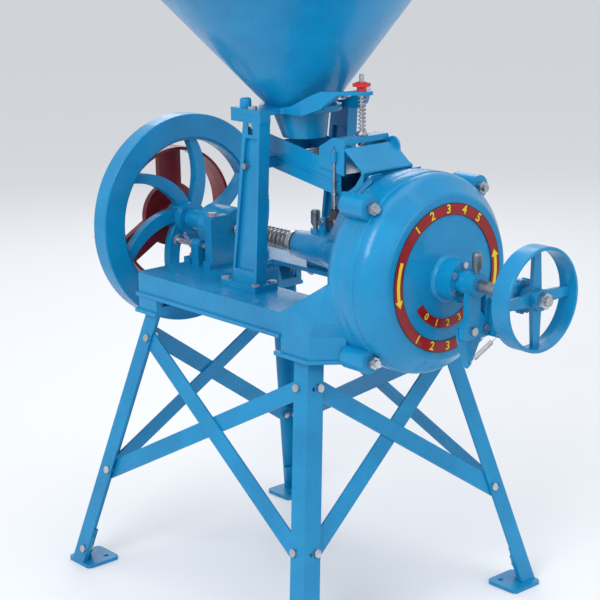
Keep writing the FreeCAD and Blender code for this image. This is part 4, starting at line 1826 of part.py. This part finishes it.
def inlet_screws():
    """Where the inlet's four screws go: their seats on the flange and their direction."""
    slope = Vector(value("saddle_front - saddle_rear"), 0,
                   value("saddle_front_height - saddle_rear_height")).normalize()
    normal = Vector(-slope.z, 0, slope.x)
    return [(Vector(x, y, value(seat_height(x))) + normal * value("inlet_wall"), normal)
            for x in (278, 320) for y in (-57, 57)]


def feed_inlet():
    """The funnel between the shoe and the chute: two sides with ears and a front wall."""
    items = []
    for y in ("-inlet_half", "inlet_half - inlet_wall"):
        body = new_body("inlet_side", y=y, kept=False)
        side = extrude(body, new_sketch(body, "XZ", [
            ("saddle_rear", "saddle_rear_height"), ("saddle_front", "saddle_front_height"),
            ("inlet_front_top", "inlet_top - 6"), ("inlet_front_top - 40", "inlet_top - 6"),
            ("inlet_front_top - 62", "inlet_top"), ("inlet_rear_top + 10", "inlet_top"),
            ("inlet_rear_top", "inlet_top - 14"), ("inlet_rear_top", "saddle_rear_height + 50"),
            ("saddle_rear", "saddle_rear_height + 30")]), "inlet_wall", back=True)
        soften(body, side, 9, lambda edge: near(edge.BoundBox.YLength, value("inlet_wall"))
               and near(edge.BoundBox.ZLength, 0) and edge.CenterOfMass.z > value("inlet_top - 20")
               and edge.CenterOfMass.x < value("inlet_front_top - 50"))
        items.append(body)
    front = new_body("inlet_front", kept=False)
    extrude(front, new_sketch(front, "XZ", [
        ("saddle_front - inlet_wall", seat_height("saddle_front - inlet_wall")),
        ("saddle_front", "saddle_front_height"), ("inlet_front_top", "inlet_top - 6"),
        ("inlet_front_top - inlet_wall", "inlet_top - 6")]), "2 * inlet_half", both=True)
    items.append(front)
    start = "saddle_rear + 26"
    for y in ("-inlet_half", "chute_half + 2"):
        body = new_body("inlet_flange", y=y, kept=False)
        extrude(body, new_sketch(body, "XZ", [
            (start, seat_height(start)), ("saddle_front", "saddle_front_height"),
            ("saddle_front", "saddle_front_height + inlet_wall * 1.27"),
            (start, seat_height(start) + " + inlet_wall * 1.27")]),
            "inlet_half - chute_half - 2", back=True)
        items.append(body)
    drills = [hole(seat, normal, 9, 20) for seat, normal in inlet_screws()]
    less("feed_inlet", union("inlet_whole", items), [stock("inlet_drill", drills)])


def grease_cups():
    cups = []
    for x, base in (("cup_station", "shaft_height + cup_boss_top"),
                    ("head_cup_station", "shaft_height + housing_radius")):
        points = [(0, -5), (3.9, -5), (3.9, 0), (6, 0), (6, 7), (9, 7), (9, 12), (11, 12), (11, 38),
                  (8, 43), (0, 43), (0, -5)]
        outline = Part.makePolygon([Vector(across, 0, up) for across, up in points])
        cup = Part.Face(outline).revolve(Vector(), Vector(0, 0, 1), 360)
        cup.translate(Vector(value(x), 0, value(base)))
        cups.append(cup)
    made("grease_cups", Part.makeCompound(cups))


def leg_top_spots():
    """Seats and outward normals of the bolts that hold the legs in the castings."""
    spots = []
    for _, side_x, side_y in CORNERS:
        normals = face_normals(side_x, side_y)
        for spot, normal in zip(leg_spots(side_x, side_y, "(skirt_low + bed_top) / 2"), normals):
            spots.append((spot, normal))
    return spots


def casting_drill(name):
    """Every tapped or through hole that fasteners need in the two big castings."""
    drills = [hole(spot + normal * 8, normal, value("stand_bolt"), 12)
              for spot, normal in leg_top_spots()]
    top = value("bed_top")
    through = value("stand_bolt + 2 * free_gap")
    for middle in ("-(post_inner + post_thick / 2)", "post_inner + post_thick / 2"):
        for x, y in post_foot_spots(middle):
            drills.append(hole(Vector(value(x), value(y), top), Vector(0, 0, 1), through, 30))
    for side in (-1, 1):
        y = side * value("bearing_bolt_out")
        for x, size in (("(bearing_front + ear_rear) / 2", "bearing_bolt"),
                        ("bearing_rear + foot_step / 2 + 1.5", "foot_bolt")):
            drills.append(hole(Vector(value(x), y, top), Vector(0, 0, 1),
                               value(size + " + 2 * free_gap"), 30))
    drills += [hole(seat, normal, 8, 40) for seat, normal in inlet_screws()]
    return stock(name, drills)


def frame_bolts():
    size, across, thick, nut_high = values("stand_bolt", "head_across", "head_thick", "nut_thick")
    items = []
    for y in BED_BOLTS:
        seat = Vector(value("bed_joint - bed_wall"), value(y), value("bed_bolt_height"))
        other = Vector(value("bed_joint + bed_wall"), seat.y, seat.z)
        items.append(bolt(seat, Vector(-1, 0, 0), size, 2 * value("bed_wall") + 12, across, thick))
        items.append(nut(other, Vector(1, 0, 0), size, across, nut_high))
    wall = value("leg_wall")
    for spot, normal in leg_top_spots():
        items.append(bolt(spot - normal * wall, -normal, size, wall + 14, across, thick))
    for side in (-1, 1):
        middle = "%d * (post_inner + post_thick / 2)" % side
        for x, y in post_foot_spots(middle):
            head = Vector(value(x), value(y), value("bed_top + post_foot_thick"))
            under = Vector(head.x, head.y, value("bed_top - deck_thick"))
            items.append(bolt(head, Vector(0, 0, 1), size, head.z - under.z + 12, across, thick))
            items.append(nut(under, Vector(0, 0, -1), size, across, nut_high))
        top = Vector(value("yoke_bolt_station"), side * value("yoke_bolt_out"),
                     value("post_top + yoke_thick"))
        under = Vector(top.x, top.y, value("post_top - post_head_thick"))
        items.append(bolt(top, Vector(0, 0, 1), size, top.z - under.z + 12, across, thick))
        items.append(nut(under, Vector(0, 0, -1), size, across, nut_high))
    for seat, normal in inlet_screws():
        items.append(bolt(seat, normal, 8, 16, 13, 5.3))
    pivot = Vector(*values("shaker_pivot", "-13", "shaker_pivot_height"))
    items.append(bolt(pivot, Vector(0, -1, 0), 8, 30, 13, 5.3))
    made("frame_bolts_and_nuts", Part.makeCompound(items))


stand()
braces()
bed()
mill_body()
cover()
rear_bearing()
bushes()
main_shaft()
flywheel()
drive_pulley()
collar_and_cam()
shaft_spring()
feed_worm()
plates()
thrust_parts()
adjusting_screw()
screw_housing()
locking_lever()
hand_wheel()
posts()
hopper_and_yoke()
feed_shoe()
shoe_end_bracket()
feed_rod()
shaker_lever()
feed_inlet()
grease_cups()
frame_bolts()
doc.removeObject("Probe")
doc.recompute()
faults = [item.Label for item in doc.Objects
          if "Invalid" in item.State or "Error" in item.State]
if faults:
    raise RuntimeError("invalid objects: %s" % ", ".join(faults))
os.makedirs("parts", exist_ok=True)
for piece in nodes:
    shape = piece.Shape
    if shape.isNull() or not shape.isValid():
        raise RuntimeError("%s has no valid shape" % piece.Label)
    shape.exportStep(os.path.join("parts", piece.Label + ".step"))
    print("%-28s %2d solids %10.0f mm3" % (piece.Label, len(shape.Solids), shape.Volume))
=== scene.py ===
import json
import math

import bpy
from mathutils import Matrix, Vector


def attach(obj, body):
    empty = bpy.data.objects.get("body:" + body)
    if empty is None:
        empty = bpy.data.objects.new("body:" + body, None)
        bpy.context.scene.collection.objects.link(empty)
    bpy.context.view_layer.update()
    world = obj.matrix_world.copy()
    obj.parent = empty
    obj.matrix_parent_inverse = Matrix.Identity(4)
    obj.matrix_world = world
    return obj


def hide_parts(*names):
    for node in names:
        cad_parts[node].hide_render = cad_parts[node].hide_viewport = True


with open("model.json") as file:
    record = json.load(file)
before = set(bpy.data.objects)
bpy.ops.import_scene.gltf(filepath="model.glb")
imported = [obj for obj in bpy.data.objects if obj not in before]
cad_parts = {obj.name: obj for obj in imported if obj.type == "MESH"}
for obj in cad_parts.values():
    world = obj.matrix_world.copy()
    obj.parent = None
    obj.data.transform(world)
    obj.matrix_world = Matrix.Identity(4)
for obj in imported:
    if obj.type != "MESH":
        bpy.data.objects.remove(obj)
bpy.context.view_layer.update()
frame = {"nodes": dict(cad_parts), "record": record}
nodes = frame["nodes"]
scene = bpy.context.scene
scene.view_settings.view_transform = "Standard"

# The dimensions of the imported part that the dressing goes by, in metres.

SHAFT = 0.819                        # height of the main shaft
FACE = 0.4875                        # front of the cover's raised ring
RING_HIGH = 0.0025                   # how far the ring stands out
RING_IN, RING_OUT = 0.1335, 0.1585   # radii of the ring
ARC_IN, ARC_OUT = 0.086, 0.106       # radii of the small arc inside it


def srgb(red, green, blue):
    """A colour given as 0 to 255, as Blender's linear values."""
    def linear(value):
        value /= 255
        return value / 12.92 if value <= 0.04045 else ((value + 0.055) / 1.055) ** 2.4
    return (linear(red), linear(green), linear(blue), 1)


# Materials. Each one is a small node tree around one shader.

class Tree:
    def __init__(self, name):
        self.material = bpy.data.materials.new(name)
        self.material.use_nodes = True
        self.nodes = self.material.node_tree.nodes
        self.links = self.material.node_tree.links
        self.shader = self.nodes["Principled BSDF"]
        self.coords = self.nodes.new("ShaderNodeTexCoord").outputs["Object"]

    def add(self, kind, **inputs):
        node = self.nodes.new(kind)
        for key, value in inputs.items():
            self.put(node, key, value)
        return node

    def put(self, node, key, value):
        """Sets or links the input of that name, or of that number after an underscore."""
        socket = node.inputs[int(key[1:])] if key[0] == "_" else node.inputs[key.replace("_", " ")]
        if isinstance(value, bpy.types.NodeSocket):
            self.links.new(value, socket)
        else:
            socket.default_value = value

    def noise(self, scale, detail=3, rough=0.5):
        node = self.add("ShaderNodeTexNoise", Vector=self.coords, Scale=scale, Detail=detail,
                        Roughness=rough)
        return node.outputs["Fac"]

    def remap(self, value, low, high, to_low=0, to_high=1):
        node = self.add("ShaderNodeMapRange", Value=value)
        for index, number in enumerate((low, high, to_low, to_high)):
            node.inputs[index + 1].default_value = number
        return node.outputs["Result"]

    def mix(self, factor, first, second):
        node = self.nodes.new("ShaderNodeMix")
        node.data_type = "RGBA"
        for socket, value in ((0, factor), (6, first), (7, second)):
            self.put(node, "_%d" % socket, value)
        return node.outputs[2]

    def math(self, operation, *values):
        node = self.nodes.new("ShaderNodeMath")
        node.operation = operation
        for index, value in enumerate(values):
            self.put(node, "_%d" % index, value)
        return node.outputs[0]

    def bump(self, height, strength, distance, normal=None):
        node = self.add("ShaderNodeBump", Height=height, Strength=strength, Distance=distance)
        if normal:
            self.put(node, "Normal", normal)
        return node.outputs["Normal"]

    def rounded(self, radius):
        return self.add("ShaderNodeBevel", Radius=radius).outputs["Normal"]

    def finish(self, **inputs):
        for key, value in inputs.items():
            self.put(self.shader, key, value)
        return self.material


LUMPS, GLOSS, SOFT_EDGE = 0.4, 0.24, 0.0016    # of enamel on a casting
VARNISH = {"Coat_Weight": 0.22, "Coat_Roughness": 0.09, "Specular_IOR_Level": 0.28}


def cloud(tree):
    """Where the paint is laid on thicker, in patches a hand wide."""
    return tree.remap(tree.noise(7, 4, 0.6), 0.35, 0.68)


def brushed(tree, gloss=GLOSS):
    """Gloss that changes with the strokes of the brush."""
    return tree.remap(tree.noise(38, 4), 0.3, 0.75, gloss, gloss + 0.17)


def cast_skin(tree, lumps=LUMPS):
    """The shallow lumps of a sand casting, with softened edges."""
    return tree.bump(tree.noise(48, 4, 0.55), lumps, 0.0022, tree.rounded(SOFT_EDGE))


def enamel(name, colour, dark, light, lumps=LUMPS, gloss=GLOSS):
    """Thick brushed enamel over a sand casting: shallow lumps, a fine skin, paler worn spots."""
    tree = Tree(name)
    speck = tree.remap(tree.noise(120, 3, 0.7), 0.62, 0.78, 0, 0.35)
    base = tree.mix(speck, tree.mix(cloud(tree), colour, dark), light)
    normal = tree.bump(tree.noise(420, 2), lumps * 0.5, 0.0003, cast_skin(tree, lumps))
    return tree.finish(Base_Color=base, Roughness=brushed(tree, gloss), Normal=normal, **VARNISH)


def metal(name, colour, dark, rough, bumps=0.2, metallic=1.0):
    """Bare or plated metal, a little uneven in tone and shine."""
    tree = Tree(name)
    base = tree.mix(tree.remap(tree.noise(30, 4, 0.65), 0.35, 0.7), colour, dark)
    level = tree.remap(tree.noise(90, 3), 0.3, 0.7, rough, rough + 0.16)
    normal = tree.bump(tree.noise(160, 3), bumps, 0.0005, tree.rounded(0.0006))
    return tree.finish(Base_Color=base, Roughness=level, Normal=normal, Metallic=metallic)


BLUE, BLUE_DARK, BLUE_LIGHT = srgb(8, 133, 184), srgb(6, 117, 166), srgb(44, 154, 198)
CRIMSON, CRIMSON_DARK, RING_EDGE = srgb(146, 14, 20), srgb(122, 9, 16), srgb(46, 14, 20)
looks = {
    "blue": enamel("blue_enamel", BLUE, BLUE_DARK, BLUE_LIGHT),
    "sheet": enamel("blue_sheet", BLUE, BLUE_DARK, BLUE_LIGHT, lumps=0.22),
    "red_oxide": enamel("red_oxide_paint", srgb(150, 34, 42), srgb(118, 24, 32), srgb(168, 66, 64),
                        gloss=0.34),
    "knob": enamel("red_knob", srgb(214, 44, 48), srgb(186, 30, 36), srgb(230, 90, 88), lumps=0.1),
    "zinc": metal("zinc_fastener", srgb(206, 208, 212), srgb(160, 163, 168), 0.24),
    "steel": metal("bright_steel", srgb(188, 190, 194), srgb(140, 143, 148), 0.26),
    "spring": metal("spring_steel", srgb(196, 198, 202), srgb(130, 132, 136), 0.24),
    "iron": metal("raw_iron", srgb(74, 75, 78), srgb(50, 50, 53), 0.5, bumps=0.5, metallic=0.7),
    "cup": metal("cup_steel", srgb(120, 134, 142), srgb(84, 98, 108), 0.34, metallic=0.8),
    "bronze": metal("bronze", srgb(176, 138, 74), srgb(140, 105, 55), 0.3),
    "yellow": enamel("yellow_paint", srgb(226, 202, 44), srgb(206, 178, 34), srgb(240, 226, 120),
                     lumps=0.15),
}

SLOT_LOOK = {
    "blue_enamel": "blue",
    "red_oxide_paint": "red_oxide",
    "red_knob": "knob",
    "zinc_fastener": "zinc",
    "bright_steel": "steel",
    "spring_steel": "spring",
    "raw_iron": "iron",
    "bronze": "bronze",
    "cup_steel": "cup",
}
PAINTED = ("locking_lever", "shaft_bushes")
SHEET_METAL = ("hopper", "leg_rear_near", "leg_rear_far", "leg_front_near", "leg_front_far",
               "feet", "braces_near", "braces_far", "braces_rear", "braces_front", "feed_shoe")


def cover_material():
    """The cover's enamel, with its raised ring and small arc painted crimson by hand."""
    tree = Tree("cover_enamel")
    x, y, z = tree.add("ShaderNodeSeparateXYZ", Vector=tree.coords).outputs
    z = tree.math("SUBTRACT", z, SHAFT)
    radius = tree.math("SQRT", tree.math("ADD", tree.math("MULTIPLY", z, z),
                                         tree.math("MULTIPLY", y, y)))
    wobble = tree.remap(tree.noise(60, 2), 0.2, 0.8, -0.0005, 0.0005)
    radius = tree.math("ADD", radius, wobble)
    raised = tree.math("GREATER_THAN", x, FACE - RING_HIGH + 0.0006)

    def between(low, high):
        return tree.math("MULTIPLY", tree.math("GREATER_THAN", radius, low),
                         tree.math("LESS_THAN", radius, high))

    ring = between(RING_IN - 0.0015, RING_OUT + 0.0015)
    arc = tree.math("MULTIPLY", between(ARC_IN - 0.001, ARC_OUT + 0.001),
                    tree.math("LESS_THAN", z, -0.02))
    red = tree.math("MULTIPLY", tree.math("MAXIMUM", ring, arc), raised)
    edge = tree.math("MAXIMUM", between(RING_IN - 0.0015, RING_IN + 0.0016),
                     between(RING_OUT - 0.0016, RING_OUT + 0.0015))
    patches = cloud(tree)
    crimson = tree.mix(edge, tree.mix(patches, CRIMSON, CRIMSON_DARK), RING_EDGE)
    base = tree.mix(red, tree.mix(patches, BLUE, BLUE_DARK), crimson)
    return tree.finish(Base_Color=base, Roughness=brushed(tree), Normal=cast_skin(tree), **VARNISH)


def dress(obj, material):
    obj.data.materials.clear()
    obj.data.materials.append(material)


for subpart in frame["record"]["subparts"]:
    node_name = subpart["node"]
    look = SLOT_LOOK[subpart["material_slot"]]
    if node_name in SHEET_METAL:
        look = "sheet"
    if node_name in PAINTED:
        look = "blue"
    dress(nodes[node_name], looks[look])
dress(nodes["front_cover"], cover_material())


def new_piece(name, mesh, body, material):
    obj = bpy.data.objects.new(name, mesh)
    scene.collection.objects.link(obj)
    dress(obj, material)
    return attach(obj, body)


def prism(outline, near, far):
    """Corners and faces of an outline of (x, z) points between two stations across."""
    count = len(outline)
    points = [(x, y, z) for y in (near, far) for x, z in outline]
    faces = [tuple(range(count)), tuple(reversed(range(count, 2 * count)))]
    faces += [(i, i + count, (i + 1) % count + count, (i + 1) % count) for i in range(count)]
    return points, faces


def casting(name, solids, body, material):
    """One mesh of several solids, with softened edges."""
    points, faces = [], []
    for corners, sides in solids:
        first = len(points)
        points += corners
        faces += [tuple(first + i for i in side) for side in sides]
    mesh = bpy.data.meshes.new(name)
    mesh.from_pydata(points, [], faces)
    mesh.update()
    obj = new_piece(name, mesh, body, material)
    soft = obj.modifiers.new("edge", "BEVEL")
    soft.width = 0.0025
    soft.segments = 3
    for face in mesh.polygons:
        face.use_smooth = True
    obj.modifiers.new("normals", "WEIGHTED_NORMAL")
    return obj


# The inlet: a hood that leans back over the chute, with an open near side and a far ear.

SEAT = ((0.240, 0.946), (0.336, 1.022))    # ends of the mill's sloping top, as (x, z)
INLET_HALF = 0.074                         # half of the inlet's width
INLET_WALL = 0.006
EAR_MIDDLE, EAR_RADIUS = (0.253, 1.064), 0.021
FLANGE_IN = 0.044                          # where the bolted flanges begin, from the middle


def seat(x, lift=0.0):
    """The point of the mill's top at a station along the shaft, as (x, z)."""
    share = (x - SEAT[0][0]) / (SEAT[1][0] - SEAT[0][0])
    return (x, SEAT[0][1] + share * (SEAT[1][1] - SEAT[0][1]) + lift)


ear = [(EAR_MIDDLE[0] + EAR_RADIUS * math.cos(a), EAR_MIDDLE[1] + EAR_RADIUS * math.sin(a))
       for a in (math.radians(10 + 20 * i) for i in range(9))]
hood = [(0.307, 1.024), (0.309, 1.030), (0.252, 1.074), (0.248, 1.069)]
lip = [(0.302, 1.022), (0.312, 1.024), (0.311, 1.031), (0.301, 1.030)]
front_wall = [seat(0.298), seat(0.306), (0.308, 1.026), (0.300, 1.026)]
near_side = [seat(0.241), seat(0.308), (0.311, 1.026), (0.304, 1.024), (0.284, 0.998),
             (0.262, 0.982), (0.241, 0.980)]
far_side = [seat(0.241), seat(0.308), (0.311, 1.030), (0.276, 1.044)] + ear + [(0.232, 1.040)]
flange = [seat(0.262), seat(0.336), seat(0.336, INLET_WALL), seat(0.262, INLET_WALL)]
inlet = casting("inlet_hood", [
    prism(hood, -0.072, 0.072),
    prism(lip, -INLET_HALF, INLET_HALF),
    prism(front_wall, -0.066, 0.066),
    prism(near_side, -INLET_HALF, INLET_WALL - INLET_HALF),
    prism(far_side, INLET_HALF - INLET_WALL, INLET_HALF),
    prism(flange, -INLET_HALF, -FLANGE_IN),
    prism(flange, FLANGE_IN, INLET_HALF),
], "frame", looks["blue"])
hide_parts("feed_inlet")

# The turned band over the joint of drum and cover.

BAND = ((0.389, 0.2155), (0.3915, 0.2166), (0.4245, 0.2166), (0.426, 0.2158), (0.4262, 0.2145))
SEGMENTS = 192
band_points = [(x, radius * math.sin(2 * math.pi * i / SEGMENTS),
                SHAFT + radius * math.cos(2 * math.pi * i / SEGMENTS))
               for i in range(SEGMENTS) for x, radius in BAND]
band_faces = []
for i in range(SEGMENTS):
    here, there = i * len(BAND), (i + 1) % SEGMENTS * len(BAND)
    band_faces += [(here + k, here + k + 1, there + k + 1, there + k)
                   for k in range(len(BAND) - 1)]
band_mesh = bpy.data.meshes.new("joint_band")
band_mesh.from_pydata(band_points, [], band_faces)
for face in band_mesh.polygons:
    face.use_smooth = True
new_piece("joint_band", band_mesh, "frame", looks["blue"])

# The dial on the cover: numerals and two arrows, in raised yellow paint.

PAINT = 0.0005                             # how far the paint stands out
RING_MIDDLE, ARC_MIDDLE = (RING_IN + RING_OUT) / 2, (ARC_IN + ARC_OUT) / 2
RING_TEXT, ARC_TEXT = 0.026, 0.021
ARROW_HALF, ARROW_HEAD, HEAD_ANGLE = 0.0042, 0.0105, 0.11


def on_face(angle, radius, lift=0.0):
    """A point on the cover's ring, at an angle clockwise from the top."""
    return Vector((FACE + lift, radius * math.sin(angle), SHAFT + radius * math.cos(angle)))


def plate_of(outline, name):
    """A thin slab of paint over an outline of (angle, radius) points."""
    count = len(outline)
    points = [on_face(a, r, lift) for lift in (-0.0001, PAINT) for a, r in outline]
    faces = [tuple(range(count, 2 * count)), tuple(reversed(range(count)))]
    faces += [(i, (i + 1) % count, count + (i + 1) % count, count + i) for i in range(count)]
    mesh = bpy.data.meshes.new(name)
    mesh.from_pydata(points, [], faces)
    mesh.update()
    return mesh


def arrow(name, start, end):
    """A curved arrow along the middle of the ring; its head is at the end angle, in degrees."""
    start, end = math.radians(start), math.radians(end)
    neck = end - HEAD_ANGLE * (1 if end > start else -1)
    rim = [start + (neck - start) * i / 10 for i in range(11)]
    outline = [(a, RING_MIDDLE + ARROW_HALF) for a in rim]
    outline += [(neck, RING_MIDDLE + ARROW_HEAD), (end, RING_MIDDLE), (neck, RING_MIDDLE - ARROW_HEAD)]
    outline += [(a, RING_MIDDLE - ARROW_HALF) for a in reversed(rim)]
    new_piece(name, plate_of(outline, name), "frame", looks["yellow"])


def numeral(text, degrees, radius, size, outward=True):
    """One figure in raised paint, with its top or its foot towards the rim."""
    angle = math.radians(degrees)
    curve = bpy.data.curves.new("numeral", "FONT")
    curve.body = text
    curve.size = size
    curve.align_x, curve.align_y = "CENTER", "CENTER"
    curve.extrude = PAINT / 2
    curve.offset = size * 0.02
    curve.resolution_u = 3
    source = bpy.data.objects.new("numeral", curve)
    mesh = bpy.data.meshes.new_from_object(source)
    bpy.data.objects.remove(source)
    flip = 1 if outward else -1
    across = Vector((0, math.cos(angle), -math.sin(angle))) * flip
    upward = Vector((0, math.sin(angle), math.cos(angle))) * flip
    mesh.transform(Matrix((across, upward, Vector((1, 0, 0)))).transposed().to_4x4())
    mesh.transform(Matrix.Translation(on_face(angle, radius, PAINT / 2)))
    new_piece("numeral_%s_%d" % (text, degrees), mesh, "frame", looks["yellow"])


for number, degrees in enumerate((-38, -19, 0, 19, 38), 1):
    numeral(str(number), degrees, RING_MIDDLE, RING_TEXT)
for number, degrees in enumerate((218, 199, 180, 161, 142), 1):
    numeral(str(number), degrees, RING_MIDDLE, RING_TEXT, outward=False)
arrow("arrow_far", 112, 74)
arrow("arrow_near", 292, 254)
for number, degrees in enumerate((222, 201, 180, 159, 138)):
    numeral(str(number), degrees, ARC_MIDDLE, ARC_TEXT, outward=False)

# Floor, light and camera.

FLOOR_HALF = 30
floor_mesh = bpy.data.meshes.new("floor")
floor_mesh.from_pydata([(x * FLOOR_HALF, y * FLOOR_HALF, 0)
                        for x, y in ((-1, -1), (1, -1), (1, 1), (-1, 1))], [], [(0, 1, 2, 3)])
floor = bpy.data.objects.new("floor", floor_mesh)
scene.collection.objects.link(floor)
dress(floor, Tree("pale_floor").finish(Base_Color=srgb(226, 228, 231), Roughness=0.8))

world = bpy.data.worlds.new("studio")
scene.world = world
world.use_nodes = True
background = world.node_tree.nodes["Background"]
background.inputs["Color"].default_value = (0.955, 0.975, 1.0, 1)
background.inputs["Strength"].default_value = 0.84


MIDDLE = Vector((0.1, 0, 0.8))             # what the lamps point at
LAMPS = {                                  # place, side in metres, power in watts
    "key": ((1.4, -3.4, 3.2), 2.0, 95),
    "fill": ((4.0, 1.0, 2.2), 2.6, 30),
    "back": ((-3.0, 2.2, 3.0), 2.4, 34),
    "top": ((0.2, 0.2, 4.2), 3, 34),
}
for name, (place, side, power) in LAMPS.items():
    lamp_data = bpy.data.lights.new(name, "AREA")
    lamp_data.shape = "RECTANGLE"
    lamp_data.size = lamp_data.size_y = side
    lamp_data.energy = power
    lamp = bpy.data.objects.new(name, lamp_data)
    lamp.location = place
    lamp.rotation_euler = (MIDDLE - Vector(place)).to_track_quat("-Z", "Y").to_euler()
    scene.collection.objects.link(lamp)

EYE = Vector((2.71975142, -2.36728479, 1.62821226))
YAW, PITCH, ROLL = 2.42206161, -0.25696508, -0.01551077
FOCAL, PICTURE, SENSOR = 1603.18189, 600, 36    # pixels, pixels and millimetres
forward = Vector((math.cos(YAW) * math.cos(PITCH), math.sin(YAW) * math.cos(PITCH),
                  math.sin(PITCH)))
level = Vector((math.sin(YAW), -math.cos(YAW), 0))
upright = level.cross(forward)
right = level * math.cos(ROLL) + upright * math.sin(ROLL)
up = upright * math.cos(ROLL) - level * math.sin(ROLL)
camera_data = bpy.data.cameras.new("camera")
camera_data.sensor_width = SENSOR
camera_data.lens = FOCAL / PICTURE * SENSOR
camera_data.clip_end = 60
camera = bpy.data.objects.new("camera", camera_data)
turn = Matrix((right, up, -forward)).transposed().to_4x4()
camera.matrix_world = Matrix.Translation(EYE) @ turn
scene.collection.objects.link(camera)
scene.camera = camera
